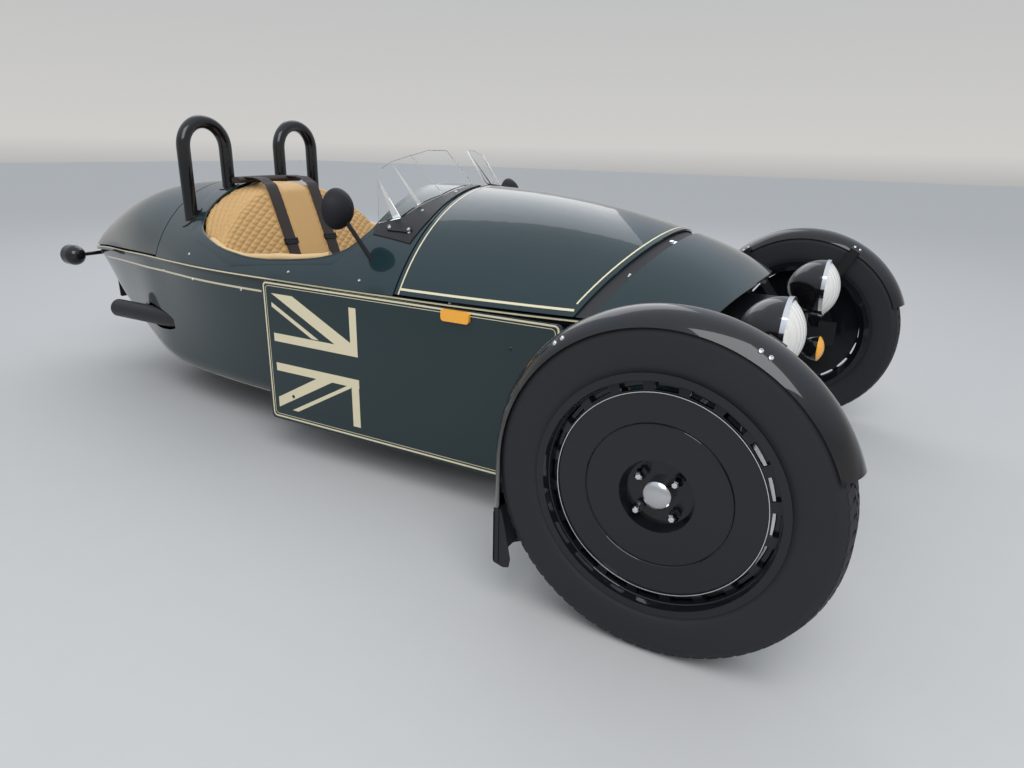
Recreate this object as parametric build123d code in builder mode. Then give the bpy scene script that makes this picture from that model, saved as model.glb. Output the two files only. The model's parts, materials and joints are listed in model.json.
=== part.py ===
"""Open two-seat car on three wheels: two steered wheels in front, one driven wheel in the tail.

The origin is at the middle of the footprint on the ground, +Z is up, the nose points to -Y
and +X is the driver's left. Lengths are in millimetres. A station is a distance behind the
front axle.
"""
import os
from math import atan2, cos, radians, sin

from build123d import *

os.makedirs("parts", exist_ok=True)

# Overall size
LENGTH = 3581.0
WIDTH = 1850.0
HOOP_TOP = 1132.0
WHEELBASE = 2390.0

# Front wheels and tyres
TYRE_R = 370.0
TYRE_HALF = 60.0
TREAD_HALF = 38.0
RIM_SEAT_R = 254.0
RIM_FLANGE_R = 266.0
RIM_HALF = 56.0
RIM_WALL = 6.0
DISC_EDGE_R = 246.0
DISC_THICK = 7.0
SLOT_COUNT = 20
SLOT_R = 234.0
SLOT_LENGTH = 50.0
SLOT_WIDTH = 17.0
HUB_POCKET_R = 80.0
HUB_POCKET_DEPTH = 26.0
NUT_CIRCLE = 108.0
NUT_COUNT = 4
NUT_R = 10.0
CAP_R = 30.0
SPINDLE_R = 20.0
RUNNING_FIT = 0.05
SEAT_GAP = 0.3

# Rear wheel
REAR_TYRE_R = 318.0
REAR_TYRE_HALF = 97.0
REAR_TREAD_HALF = 70.0
REAR_RIM_R = 190.0
REAR_RIM_HALF = 92.0
REAR_AXLE_R = 14.0
PULLEY_R = 120.0

# Fenders
FENDER_R = 391.0
FENDER_HALF = 63.0
FENDER_LIP_R = 356.0
FENDER_WALL = 4.0
FENDER_FRONT = 20.0
FENDER_SKIRT = 265.0

# Steering
KINGPIN_X = 772.0
KINGPIN_R = 10.0
UPPER_EYE_Z = 486.0
LOWER_EYE_Z = 250.0
EYE_HEIGHT = 16.0
EYE_R = 24.0
STEER_ARM = 110.0
ROD_R = 8.0
RACK_Z = 330.0
JOINT_GAP = 6.0

# Body shell
SKIN = 6.0
TUB_WALL = 8.0
LID_GAP = 6.0
CHINE_R = 80.0
NOSE_ARC_CENTRE = 1265.0
NOSE_ARC_R = 1265.0
BONNET_ARC_R = 1000.0
BONNET_SLOT = 38.0
TUB_FRONT = 170.0
FIREWALL = 760.0
SCUTTLE = 960.0
BOOT_LINE = 2250.0
TAIL = LENGTH - TYRE_R
LID_END = TAIL - 40.0
AXLE_Y = -LENGTH / 2 + TYRE_R

# Side plates
PLATE_X = 560.0
PLATE_THICK = 6.0
PLATE_FRONT = 385.0
PLATE_REAR = 1490.0
PLATE_BOTTOM = 125.0
PLATE_TOP = 606.0
PLATE_CORNER = 16.0

# Dark strip along the belt
TRIM_OUT = 5.0
TRIM_HEIGHT = 16.0

# Roll hoops
HOOP_STATION = 2110.0
HOOP_X = 236.0
HOOP_TUBE_R = 25.0
HOOP_HALF = 96.0

# Lamps
LAMP_X = 365.0
LAMP_STATION = -134.0
LAMP_Z = 614.0
LAMP_R = 93.0
LAMP_DEPTH = 125.0
LENS_R = 88.0
LENS_BULGE = 42.0
BLINKER_X = 335.0
BLINKER_STATION = -140.0
BLINKER_Z = 417.0
BLINKER_R = 42.0

# Body sections: station, half width at the belt, belt height, crown height,
# half width at the floor, floor height
SECTIONS = [
    (0.0, 400.0, 600.0, 692.0, 330.0, 150.0),
    (150.0, 440.0, 603.0, 773.0, 350.0, 140.0),
    (300.0, 475.0, 606.0, 818.0, 380.0, 130.0),
    (600.0, 520.0, 609.0, 879.0, 420.0, 125.0),
    (SCUTTLE, 540.0, 611.0, 910.0, 440.0, 125.0),
    (1500.0, 530.0, 609.0, 905.0, 440.0, 125.0),
    (2050.0, 465.0, 603.0, 885.0, 400.0, 125.0),
    (BOOT_LINE, 412.0, 597.0, 878.0, 370.0, 130.0),
    (2500.0, 345.0, 588.0, 857.0, 290.0, 165.0),
    (2750.0, 262.0, 574.0, 795.0, 205.0, 245.0),
    (2950.0, 192.0, 559.0, 710.0, 140.0, 345.0),
    (3100.0, 135.0, 542.0, 628.0, 85.0, 440.0),
    (TAIL - 31.0, 75.0, 532.0, 572.0, 45.0, 492.0),
    (TAIL, 14.0, 527.0, 534.0, 10.0, 518.0),
]

# Cockpit opening, one half: distance from the centre line, station
OPENING = [(200.0, 2140.0), (400.0, 2040.0), (498.0, 1700.0), (488.0, 1240.0), (395.0, 1140.0)]


def save(piece, label):
    """Label a finished piece and write its file."""
    piece.part.label = label
    export_step(piece.part, f"parts/{label}.step")


def at_station(station):
    """Upright plane across the car, local x to the left and local y up."""
    return Plane.XZ.offset(-(AXLE_Y + station))


def wheel_plane(x, side, z, y=AXLE_Y):
    """Plane through a wheel centre whose local x points away from the car."""
    return Plane(origin=(x, y, z), x_dir=(side, 0, 0), z_dir=(0, 0, side))


def section_at(station):
    """Half width, belt, crown, floor half width and floor height between two table rows."""
    for low, high in zip(SECTIONS, SECTIONS[1:]):
        if low[0] <= station <= high[0]:
            t = (station - low[0]) / (high[0] - low[0])
            return [a + (b - a) * t for a, b in zip(low[1:], high[1:])]
    raise ValueError(f"no section at station {station}")


def arch_face(row, inset=0.0, drop=0.0):
    """Cross-section of the body above the belt, moved inwards and drawn down below the belt."""
    _, half, belt, crown, _, _ = row
    left, right = (-half + inset, belt), (half - inset, belt)
    with BuildSketch() as face:
        with BuildLine():
            ThreePointArc(left, (0, crown - inset), right)
            if drop:
                Polyline(right, (half - inset, belt - drop), (-half + inset, belt - drop), left)
            else:
                Line(right, left)
        make_face()
    return face.sketch


def hull_face(row, inset=0.0, rise=0.0):
    """Cross-section of the body below the belt, moved inwards and carried up above the belt."""
    _, half, belt, _, floor_half, floor = row
    corner = min(CHINE_R, 0.5 * floor_half) - 0.5 * inset
    low, narrow = floor + inset, floor_half - inset
    top = belt + rise
    wide = narrow + (half - inset - narrow) * (top - low) / (belt - low)
    with BuildSketch() as face:
        with BuildLine():
            FilletPolyline((-wide, top), (-narrow, low), (narrow, low), (wide, top), radius=corner)
            Line((wide, top), (-wide, top))
        make_face()
    return face.sketch


def band_face(row, out, below, above):
    """Rectangle across the whole body from below the belt to above it."""
    _, half, belt, _, _, _ = row
    with BuildSketch() as face:
        with Locations((0, belt + (above - below) / 2)):
            Rectangle(2 * (half + out), above + below)
    return face.sketch


def loft_rows(rows, face_of, **sizes):
    """Smooth solid through the faces that face_of draws for each row of the section table."""
    with BuildPart() as form:
        for row in rows:
            with BuildSketch(at_station(row[0])):
                add(face_of(row, **sizes))
        loft()
    return form.part


# Whole forms that the panels are cut from
INNER_ROWS = [row for row in SECTIONS if row[1] > 60.0]
HULL_ROWS = [(TUB_FRONT, *section_at(TUB_FRONT))] + [row for row in SECTIONS if row[0] > TUB_FRONT]
BULKHEAD = TUB_FRONT + TUB_WALL
HULL_INNER = [(BULKHEAD, *section_at(BULKHEAD))] + [row for row in HULL_ROWS[1:] if row[1] > 100.0]
arch_outer = loft_rows(SECTIONS, arch_face)
arch_inner = loft_rows(INNER_ROWS, arch_face, inset=SKIN, drop=20.0)
arch_shelf = loft_rows(INNER_ROWS, arch_face, inset=SKIN + 5.0, drop=20.0)
arch_shelf_inner = loft_rows(INNER_ROWS, arch_face, inset=SKIN + 10.0, drop=40.0)
hull_outer = loft_rows(HULL_ROWS, hull_face)
hull_inner = loft_rows(HULL_INNER, hull_face, inset=TUB_WALL, rise=20.0)
hull_clear = loft_rows(HULL_ROWS, hull_face, inset=-SEAT_GAP, rise=SEAT_GAP)
hull_space = loft_rows(HULL_INNER, hull_face, inset=TUB_WALL + SEAT_GAP, rise=1.0)
arch_space = loft_rows(INNER_ROWS, arch_face, inset=SKIN + SEAT_GAP)
arch_clear = arch_outer.moved(Location((0, 0, SEAT_GAP)))
belt_band = loft_rows(SECTIONS, band_face, out=40.0, below=20.0, above=LID_GAP)
tail_tip = loft_rows(SECTIONS[-3:], arch_face, drop=4.0)

SKY = 1500.0


def plan_block(station_low, station_high, half, low, high):
    """Box given by its stations, half width and heights."""
    with BuildPart() as block:
        with BuildSketch(Plane.XY.offset(low)):
            with Locations((0, AXLE_Y + (station_low + station_high) / 2)):
                Rectangle(2 * half, station_high - station_low)
        extrude(amount=high - low)
    return block.part


def nose_disc(radius):
    """Upright cylinder whose rim is the swept edge between the nose cowl and the bonnet."""
    with BuildPart() as disc:
        with BuildSketch(Plane.XY):
            with Locations((0, AXLE_Y + NOSE_ARC_CENTRE)):
                Circle(radius)
        extrude(amount=SKY)
    return disc.part


# Tub: floor, sides and stern below the belt, open above, with a bay for the rear wheel
WHEEL_STATION = WHEELBASE
EXHAUST_X = -350.0
EXHAUST_Z = 330.0
EXHAUST_R = 38.0
EXHAUST_GAP = 12.0
STANDOFF_R = 12.0
STANDOFF_STATIONS = (540.0, 1380.0)
STANDOFF_HEIGHTS = (220.0, 520.0)
PLATE_INNER = PLATE_X - PLATE_THICK / 2


def side_block(x_low, x_high, station_low, station_high, low, high):
    """Box given by its distances to the left, stations and heights."""
    with BuildPart() as block:
        with BuildSketch(Plane.XY.offset(low)):
            with Locations(((x_low + x_high) / 2, AXLE_Y + (station_low + station_high) / 2)):
                Rectangle(x_high - x_low, station_high - station_low)
        extrude(amount=high - low)
    return block.part


def cross_bar(station, z, radius, half):
    """Round bar across the car."""
    with BuildPart() as bar:
        with BuildSketch(Plane(origin=(0, AXLE_Y, 0), x_dir=(0, 1, 0), z_dir=(1, 0, 0))):
            with Locations((station, z)):
                Circle(radius)
        extrude(amount=half, both=True)
    return bar.part


# Boot hinge: a pin between two ears on the tail, and a lug on the lid round it
HINGE_STATION = LID_END + 10.0
HINGE_Z = 586.0
HINGE_PIN_R = 4.0
HINGE_LUG_R = 8.0
HINGE_EARS = (17.0, 27.0)
HINGE_LUG_HALF = 11.0


def wall_x(station, z):
    """Distance from the centre line to the side of the tub at a height."""
    half, belt, _, floor_half, floor = section_at(station)
    return floor_half + (half - floor_half) * (z - floor) / (belt - floor)


with BuildPart() as tail_cap:
    add(tail_tip)
    split(bisect_by=at_station(LID_END + LID_GAP), keep=Keep.BOTTOM)

with BuildPart() as tub:
    add(hull_outer)
    add(hull_inner, mode=Mode.SUBTRACT)
    add(tail_cap.part)
    add(cross_bar(HINGE_STATION, HINGE_Z, HINGE_PIN_R, HINGE_EARS[1]))
    for near, far in (HINGE_EARS, (-HINGE_EARS[1], -HINGE_EARS[0])):
        add(side_block(near, far, LID_END + LID_GAP, HINGE_STATION + HINGE_LUG_R, HINGE_Z - 26, HINGE_Z + HINGE_LUG_R))
    with BuildSketch(Plane.XY):
        with Locations((0, AXLE_Y + WHEEL_STATION)):
            RectangleRounded(2 * (REAR_TYRE_HALF + 30), 2 * (REAR_TYRE_R + 25), 40)
    extrude(amount=REAR_TYRE_R + 60, mode=Mode.SUBTRACT)
    with BuildSketch(at_station(BOOT_LINE - 40)):
        with Locations((EXHAUST_X, EXHAUST_Z)):
            Circle(EXHAUST_R + EXHAUST_GAP)
    extrude(amount=-500, mode=Mode.SUBTRACT)
    for side in (1, -1):
        for station in STANDOFF_STATIONS:
            for z in STANDOFF_HEIGHTS:
                start = wall_x(station, z)
                with BuildSketch(Plane(origin=(side * start, AXLE_Y + station, z), z_dir=(side, 0, 0))):
                    Circle(STANDOFF_R)
                extrude(amount=PLATE_INNER - SEAT_GAP - start)
save(tub, "tub")

# Upper panels: nose cowl, bonnet, cockpit surround and boot lid
with BuildPart() as arch_shell:
    add(arch_outer)
    add(arch_inner, mode=Mode.SUBTRACT)
    add(hull_clear, mode=Mode.SUBTRACT)

with BuildPart() as nose_cowl:
    add(arch_shell.part)
    add(nose_disc(NOSE_ARC_R), mode=Mode.INTERSECT)
    add(nose_disc(BONNET_ARC_R + BONNET_SLOT), mode=Mode.SUBTRACT)
    split(bisect_by=at_station(FIREWALL), keep=Keep.TOP)
save(nose_cowl, "nose_cowl")

with BuildPart() as bonnet:
    add(arch_shell.part)
    add(nose_disc(BONNET_ARC_R), mode=Mode.INTERSECT)
    split(bisect_by=at_station(SCUTTLE - LID_GAP), keep=Keep.TOP)
    add(belt_band, mode=Mode.SUBTRACT)
save(bonnet, "bonnet")

with BuildPart() as cockpit_surround:
    add(arch_shell.part)
    split(bisect_by=at_station(SCUTTLE), keep=Keep.BOTTOM)
    split(bisect_by=at_station(BOOT_LINE), keep=Keep.TOP)
    with BuildSketch(Plane.XY):
        with BuildLine():
            rim = [(x, AXLE_Y + station) for x, station in OPENING]
            mirrored = [(-x, y) for x, y in reversed(rim)]
            FilletPolyline(*rim, *mirrored, radius=45, close=True)
        make_face()
    extrude(amount=SKY, mode=Mode.SUBTRACT)
save(cockpit_surround, "cockpit_surround")

with BuildPart() as boot_lid:
    add(arch_shell.part)
    split(bisect_by=at_station(BOOT_LINE + LID_GAP), keep=Keep.BOTTOM)
    split(bisect_by=at_station(LID_END), keep=Keep.TOP)
    add(belt_band, mode=Mode.SUBTRACT)
    add(side_block(-HINGE_LUG_HALF, HINGE_LUG_HALF, LID_END - 22, HINGE_STATION, HINGE_Z - HINGE_LUG_R, HINGE_Z + 6))
    add(cross_bar(HINGE_STATION, HINGE_Z, HINGE_LUG_R, HINGE_LUG_HALF))
    add(cross_bar(HINGE_STATION, HINGE_Z, HINGE_PIN_R + RUNNING_FIT, HINGE_LUG_HALF + 1), mode=Mode.SUBTRACT)
save(boot_lid, "boot_lid")

# Ledges under the panel edges: fixed to the fixed panels, a little below the shut lids
LEDGE_FLOOR = 4.0


def ledge(fixed, reach):
    """Arched strip, close under the skin inside the fixed zone and lower in the rest of its reach."""
    with BuildPart() as near:
        add(arch_space)
        add(fixed, mode=Mode.INTERSECT)
    with BuildPart() as far:
        add(arch_shelf)
        add(reach, mode=Mode.INTERSECT)
    with BuildPart() as strip:
        add(near.part)
        add(far.part)
        add(arch_shelf_inner, mode=Mode.SUBTRACT)
    return strip.part


def ring_zone(inner, outer):
    """Zone between two upright cylinders round the nose's centre, in front of the firewall."""
    with BuildPart() as zone:
        add(nose_disc(outer))
        add(nose_disc(inner), mode=Mode.SUBTRACT)
        add(plan_block(0, FIREWALL, 600, section_at(TUB_FRONT)[1] + LEDGE_FLOOR + 3, SKY), mode=Mode.INTERSECT)
    return zone.part


def belt_above(station):
    """Lowest height of a ledge at a station."""
    return section_at(station)[1] + LEDGE_FLOOR


with BuildPart() as lid_ledges:
    slot_edge = BONNET_ARC_R + BONNET_SLOT
    add(ledge(ring_zone(slot_edge, slot_edge + 20), ring_zone(BONNET_ARC_R - 20, slot_edge + 20)))
    add(ledge(plan_block(SCUTTLE, SCUTTLE + 14, 600, belt_above(SCUTTLE), SKY),
              plan_block(SCUTTLE - 30, SCUTTLE + 14, 600, belt_above(SCUTTLE), SKY)))
    add(ledge(plan_block(BOOT_LINE - 14, BOOT_LINE, 600, belt_above(BOOT_LINE), SKY),
              plan_block(BOOT_LINE - 14, BOOT_LINE + 26, 600, belt_above(BOOT_LINE), SKY)))
save(lid_ledges, "lid_ledges")

with BuildPart() as belt_trim:
    add(loft_rows(HULL_ROWS, band_face, out=TRIM_OUT, below=TRIM_HEIGHT, above=0.0))
    add(loft_rows(HULL_ROWS, band_face, out=0.1, below=2 * TRIM_HEIGHT, above=TRIM_HEIGHT), mode=Mode.SUBTRACT)
    add(hull_clear, mode=Mode.SUBTRACT)
    split(bisect_by=at_station(LID_END), keep=Keep.TOP)
save(belt_trim, "belt_trim")

# Front frame: an open cast box that carries the wishbones, the radiator and the lamps
FRAME_HALF = 300.0
FRAME_FRONT = -40.0
FRAME_REAR = TUB_FRONT - SEAT_GAP
FRAME_LOW = 165.0
FRAME_HIGH = 590.0
FRAME_WALL = 14.0
FIN_COUNT = 5
FIN_PITCH = 16.0
FIN_DEPTH = 26.0
ARM_STATIONS = (-10.0, 135.0)
ARM_BOSS_R = 20.0
ARM_PIVOT_X = FRAME_HALF + 14.0
RACK_R = 22.0
GUIDE_X = 180.0

with BuildPart() as front_frame:
    with BuildSketch(at_station(FRAME_FRONT)):
        with Locations((0, (FRAME_LOW + FRAME_HIGH) / 2)):
            RectangleRounded(2 * FRAME_HALF, FRAME_HIGH - FRAME_LOW, 30)
            RectangleRounded(2 * (FRAME_HALF - FRAME_WALL), FRAME_HIGH - FRAME_LOW - 2 * FRAME_WALL,
                             20, mode=Mode.SUBTRACT)
    extrude(amount=-(FRAME_REAR - FRAME_FRONT))
    for side in (1, -1):
        with BuildSketch(at_station(FRAME_FRONT)):
            with Locations((side * (FRAME_HALF - 8 - (FIN_COUNT - 1) * FIN_PITCH / 2), FRAME_HIGH - 70)):
                Rectangle(FIN_COUNT * FIN_PITCH, 110)
        extrude(amount=-6)
        for n in range(FIN_COUNT):
            with BuildSketch(at_station(FRAME_FRONT)):
                with Locations((side * (FRAME_HALF - 8 - n * FIN_PITCH), FRAME_HIGH - 70)):
                    Rectangle(5, 110)
            extrude(amount=FIN_DEPTH)
        for height in (LOWER_EYE_Z, UPPER_EYE_Z):
            for station in ARM_STATIONS:
                with BuildSketch(Plane(origin=(side * (FRAME_HALF - 4), AXLE_Y + station, height),
                                       z_dir=(side, 0, 0))):
                    Circle(ARM_BOSS_R)
                extrude(amount=ARM_PIVOT_X - FRAME_HALF + 4)
        with BuildSketch(Plane(origin=(side * (FRAME_HALF - 30), AXLE_Y + STEER_ARM, RACK_Z),
                               z_dir=(side, 0, 0))):
            Circle(ROD_R + JOINT_GAP)
        extrude(amount=60, mode=Mode.SUBTRACT)
        with BuildSketch(Plane.XY.offset(FRAME_LOW + FRAME_WALL - 4)):
            with Locations((side * (GUIDE_X - 20), AXLE_Y + STEER_ARM)):
                Rectangle(30, 30)
        extrude(amount=RACK_Z - FRAME_LOW - FRAME_WALL + 4)
    guide = Plane(origin=(-GUIDE_X, AXLE_Y + STEER_ARM, RACK_Z), z_dir=(1, 0, 0))
    with BuildSketch(guide):
        Circle(RACK_R)
    extrude(amount=2 * GUIDE_X)
    with BuildSketch(guide):
        Circle(ROD_R + RUNNING_FIT)
    extrude(amount=2 * GUIDE_X, mode=Mode.SUBTRACT)
save(front_frame, "front_frame")

RADIATOR = (30.0, 75.0)
with BuildPart() as radiator:
    with BuildSketch(at_station(RADIATOR[0])):
        with Locations((0, (FRAME_LOW + FRAME_HIGH) / 2)):
            RectangleRounded(2 * (FRAME_HALF - FRAME_WALL - SEAT_GAP),
                             FRAME_HIGH - FRAME_LOW - 2 * (FRAME_WALL + SEAT_GAP), 20)
    extrude(amount=-(RADIATOR[1] - RADIATOR[0]))
save(radiator, "radiator")

# Wishbones: an upper and a lower arm a side, each with an eye round the kingpin
ARM_R = 7.0
ARM_FOOT = 18.0
with BuildPart() as wishbones:
    for side in (1, -1):
        for height in (LOWER_EYE_Z, UPPER_EYE_Z):
            eye = Plane.XY.offset(height - EYE_HEIGHT / 2)
            with BuildSketch(eye):
                with Locations((side * KINGPIN_X, AXLE_Y)):
                    Circle(EYE_R)
            extrude(amount=EYE_HEIGHT)
            for station in ARM_STATIONS:
                foot = Vector(side * (ARM_PIVOT_X + SEAT_GAP), AXLE_Y + station, height)
                start = foot + Vector(side * ARM_FOOT / 2, 0, 0)
                tip = Vector(side * (KINGPIN_X - KINGPIN_R - 6), AXLE_Y, height)
                with BuildSketch(Plane(origin=start, z_dir=tip - start)):
                    Circle(ARM_R)
                extrude(amount=(tip - start).length)
                with BuildSketch(Plane(origin=foot, z_dir=(side, 0, 0))):
                    Circle(ARM_BOSS_R)
                extrude(amount=ARM_FOOT)
            with BuildSketch(eye):
                with Locations((side * KINGPIN_X, AXLE_Y)):
                    Circle(KINGPIN_R + RUNNING_FIT)
            extrude(amount=EYE_HEIGHT, mode=Mode.SUBTRACT)
save(wishbones, "wishbones")

# Front corner: knuckle, fender, rim and tyre
WHEEL_X = WIDTH / 2 - FENDER_HALF
UPRIGHT_HALF = 15.0
HUB_R = 44.0
HUB_INNER = -50.0
HUB_OUTER = 12.0
SPINDLE_END = 4.0
BRAKE_R = 135.0
BRAKE_THICK = 8.0
BRAKE_U = -48.0
STAY_ANGLES = (62.0, 128.0)
STAY_U = -84.0


def tyre_profile(tread_r, half, tread_half, rim_r, bead_half, flange_r):
    """Half-section of a tyre in a plane through its axle, axle direction first."""
    height = tread_r - rim_r
    wall_r, shoulder_r = rim_r + height * 0.48, rim_r + height * 0.73
    corner = ((tread_half + half) / 2 + 2, tread_r - height * 0.1)
    foot_r = flange_r + 2
    with BuildSketch() as profile:
        with BuildLine():
            Line((-tread_half, tread_r), (tread_half, tread_r))
            ThreePointArc((tread_half, tread_r), corner, (half - 1, shoulder_r))
            ThreePointArc((half - 1, shoulder_r), (half, wall_r), (bead_half, foot_r))
            Polyline((bead_half, foot_r), (bead_half, rim_r), (-bead_half, rim_r), (-bead_half, foot_r))
            ThreePointArc((-bead_half, foot_r), (-half, wall_r), (-half + 1, shoulder_r))
            ThreePointArc((-half + 1, shoulder_r), (-corner[0], corner[1]), (-tread_half, tread_r))
        make_face()
    return profile.sketch


def rim_barrel(seat_r, flange_r, half, wall, well):
    """Half-section of a rim barrel with a drop centre."""
    outer = [(-half, flange_r), (-half + 4, flange_r), (-half + 4, seat_r), (-half + 20, seat_r),
             (-half + 30, seat_r - well), (half - 40, seat_r - well), (half - 24, seat_r),
             (half - 4, seat_r), (half - 4, flange_r), (half, flange_r)]
    inner = [(half, seat_r - wall + 2), (half - 22, seat_r - wall), (half - 38, seat_r - well - wall),
             (-half + 28, seat_r - well - wall), (-half + 18, seat_r - wall), (-half, seat_r - wall)]
    with BuildSketch() as profile:
        with BuildLine():
            Polyline(*outer, *inner, close=True)
        make_face()
    return profile.sketch


def fender_profile(filled):
    """Cross-section of a fender, either the thin sheet or all that lies under it."""
    crown, lip, half, wall = FENDER_R, FENDER_LIP_R, FENDER_HALF, FENDER_WALL
    with BuildSketch() as profile:
        with BuildLine():
            ThreePointArc((-half, lip), (0, crown), (half, lip))
            if filled:
                Line((half, lip), (-half, lip))
            else:
                Line((half, lip), (half - wall, lip))
                ThreePointArc((half - wall, lip), (0, crown - wall), (-half + wall, lip))
                Line((-half + wall, lip), (-half, lip))
        make_face()
    return profile.sketch


def fender_form(side, filled):
    """Fender round a wheel: an arc over the tyre, then a straight skirt behind it."""
    centre = wheel_plane(side * WHEEL_X, side, TYRE_R)
    front = radians(FENDER_FRONT)
    start = Plane(origin=centre.origin, x_dir=(side, 0, 0),
                  z_dir=Vector(side, 0, 0).cross(Vector(0, -cos(front), sin(front))))
    sweep = (180.0 - FENDER_FRONT)
    with BuildPart() as form:
        with BuildSketch(start):
            add(fender_profile(filled))
        revolve(axis=Axis(centre.origin, (-1, 0, 0)), revolution_arc=sweep)
        with BuildSketch(Plane(origin=centre.origin, x_dir=(side, 0, 0), z_dir=(0, 0, side))):
            add(fender_profile(filled))
        extrude(amount=-side * FENDER_SKIRT)
    return form.part


for side, name in ((1, "left"), (-1, "right")):
    hub = wheel_plane(side * WHEEL_X, side, TYRE_R)
    axle = Axis(hub.origin, (1, 0, 0))

    with BuildPart() as fender:
        add(fender_form(side, filled=False))
    save(fender, f"fender_{name}")

    with BuildPart() as tyre:
        with BuildSketch(hub):
            add(tyre_profile(TYRE_R, TYRE_HALF, TREAD_HALF, RIM_SEAT_R + SEAT_GAP, RIM_HALF - 4 - SEAT_GAP,
                             RIM_FLANGE_R))
        revolve(axis=axle)
    save(tyre, f"front_tyre_{name}")

    # Rim: barrel, slotted disc, hub with its blind bore, brake disc
    face_u = RIM_HALF - 24
    with BuildPart() as rim:
        with BuildSketch(hub):
            add(rim_barrel(RIM_SEAT_R, RIM_FLANGE_R, RIM_HALF, RIM_WALL, 18))
            with BuildLine():
                Polyline((face_u, DISC_EDGE_R + 4), (face_u + 4, DISC_EDGE_R - 24), (face_u + 8, HUB_POCKET_R),
                         (face_u + 8 - HUB_POCKET_DEPTH, HUB_POCKET_R - 8), (face_u + 8 - HUB_POCKET_DEPTH, 0),
                         (HUB_INNER, 0), (HUB_INNER, HUB_R), (face_u - HUB_POCKET_DEPTH, HUB_R),
                         (face_u - HUB_POCKET_DEPTH, HUB_POCKET_R), (face_u, HUB_POCKET_R + 8),
                         (face_u - 4, DISC_EDGE_R - 24), (face_u - DISC_THICK, DISC_EDGE_R + 4), close=True)
            make_face()
            with Locations((BRAKE_U, (BRAKE_R + HUB_R) / 2)):
                Rectangle(BRAKE_THICK, BRAKE_R - HUB_R + 4)
        revolve(axis=axle)
        outboard = Plane(origin=hub.origin, x_dir=(0, 1, 0), z_dir=(side, 0, 0))
        with BuildSketch(outboard.offset(face_u - 12)):
            with PolarLocations(SLOT_R, SLOT_COUNT):
                Rectangle(SLOT_WIDTH, SLOT_LENGTH)
        extrude(amount=24, mode=Mode.SUBTRACT)
        pocket = outboard.offset(face_u + 8 - HUB_POCKET_DEPTH)
        with BuildSketch(pocket):
            with PolarLocations(NUT_CIRCLE / 2, NUT_COUNT, start_angle=45):
                Circle(NUT_R)
        extrude(amount=14)
        with BuildSketch(pocket):
            Circle(CAP_R)
        extrude(amount=HUB_POCKET_DEPTH - 6)
        with BuildSketch(outboard.offset(HUB_INNER)):
            Circle(SPINDLE_R + RUNNING_FIT)
        extrude(amount=SPINDLE_END + JOINT_GAP - HUB_INNER, mode=Mode.SUBTRACT)
    save(rim, f"front_rim_{name}")

    # Knuckle: upright on the kingpin, spindle, steering arm, brake caliper and fender stays
    inner = side * (KINGPIN_X - UPRIGHT_HALF)
    upright_low = LOWER_EYE_Z + EYE_HEIGHT / 2 + JOINT_GAP
    upright_high = UPPER_EYE_Z - EYE_HEIGHT / 2 - JOINT_GAP
    upright_u = KINGPIN_X - WHEEL_X
    with BuildPart() as knuckle:
        with BuildSketch(Plane(origin=(inner, AXLE_Y, 0), x_dir=(0, 1, 0), z_dir=(side, 0, 0))):
            with Locations((0, side * (upright_low + upright_high) / 2)):
                RectangleRounded(70, upright_high - upright_low, 18)
            with Locations((0, side * TYRE_R)):
                Circle(62)
        extrude(amount=2 * UPRIGHT_HALF)
        for low, high in ((LOWER_EYE_Z - EYE_HEIGHT / 2 - 4, upright_low + 5),
                          (upright_high - 5, UPPER_EYE_Z + EYE_HEIGHT / 2 + 4)):
            with BuildSketch(Plane.XY.offset(low)):
                with Locations((side * KINGPIN_X, AXLE_Y)):
                    Circle(KINGPIN_R)
            extrude(amount=high - low)
        with BuildSketch(outboard.offset(upright_u)):
            Circle(SPINDLE_R)
        extrude(amount=SPINDLE_END - upright_u)
        with BuildSketch(Plane.XY.offset(RACK_Z - 30)):
            with Locations((side * KINGPIN_X, AXLE_Y + STEER_ARM / 2)):
                Rectangle(24, STEER_ARM)
            with Locations((side * KINGPIN_X, AXLE_Y + STEER_ARM)):
                Circle(16)
        extrude(amount=12)
        caliper_u = BRAKE_U - BRAKE_THICK / 2 - JOINT_GAP
        with BuildSketch(outboard.offset(upright_u + 4)):
            with Locations((-118, 0)):
                Rectangle(64, 90)
            with Locations((-70, 0)):
                Rectangle(60, 40)
        extrude(amount=caliper_u - upright_u - 4)
        for angle in STAY_ANGLES:
            radial = Vector(0, -cos(radians(angle)), sin(radians(angle)))
            bar = Plane(origin=hub.origin, x_dir=(side, 0, 0), z_dir=radial)
            with BuildSketch(bar.offset(40)):
                with Locations((STAY_U, 0)):
                    Rectangle(8, 30)
            extrude(amount=FENDER_LIP_R + 16 - 40)
            with BuildSketch(bar.offset(FENDER_LIP_R + 2)):
                with Locations(((STAY_U - FENDER_HALF + 8) / 2, 0)):
                    Rectangle(-STAY_U - FENDER_HALF + 16, 40)
            extrude(amount=14)
        add(fender_form(side, filled=True), mode=Mode.SUBTRACT)
    save(knuckle, f"knuckle_{name}")

# Steering: rack with its tie rods, column and wheel
RACK_STATION = STEER_ARM
WHEEL_CENTRE = Vector(240.0, AXLE_Y + 1290.0, 690.0)
WHEEL_TILT = 24.0
STEERING_R = 162.0
STEERING_GRIP = 13.0
COLUMN_R = 14.0
COLUMN_LENGTH = 330.0

with BuildPart() as rack:
    for side in (1, -1):
        with BuildSketch(Plane(origin=(0, AXLE_Y + RACK_STATION, RACK_Z), z_dir=(side, 0, 0))):
            Circle(ROD_R)
        extrude(amount=KINGPIN_X + 14)
        with BuildSketch(Plane.XY.offset(RACK_Z - 18 + JOINT_GAP)):
            with Locations((side * KINGPIN_X, AXLE_Y + RACK_STATION)):
                Circle(14)
        extrude(amount=24)
save(rack, "rack")

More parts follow.
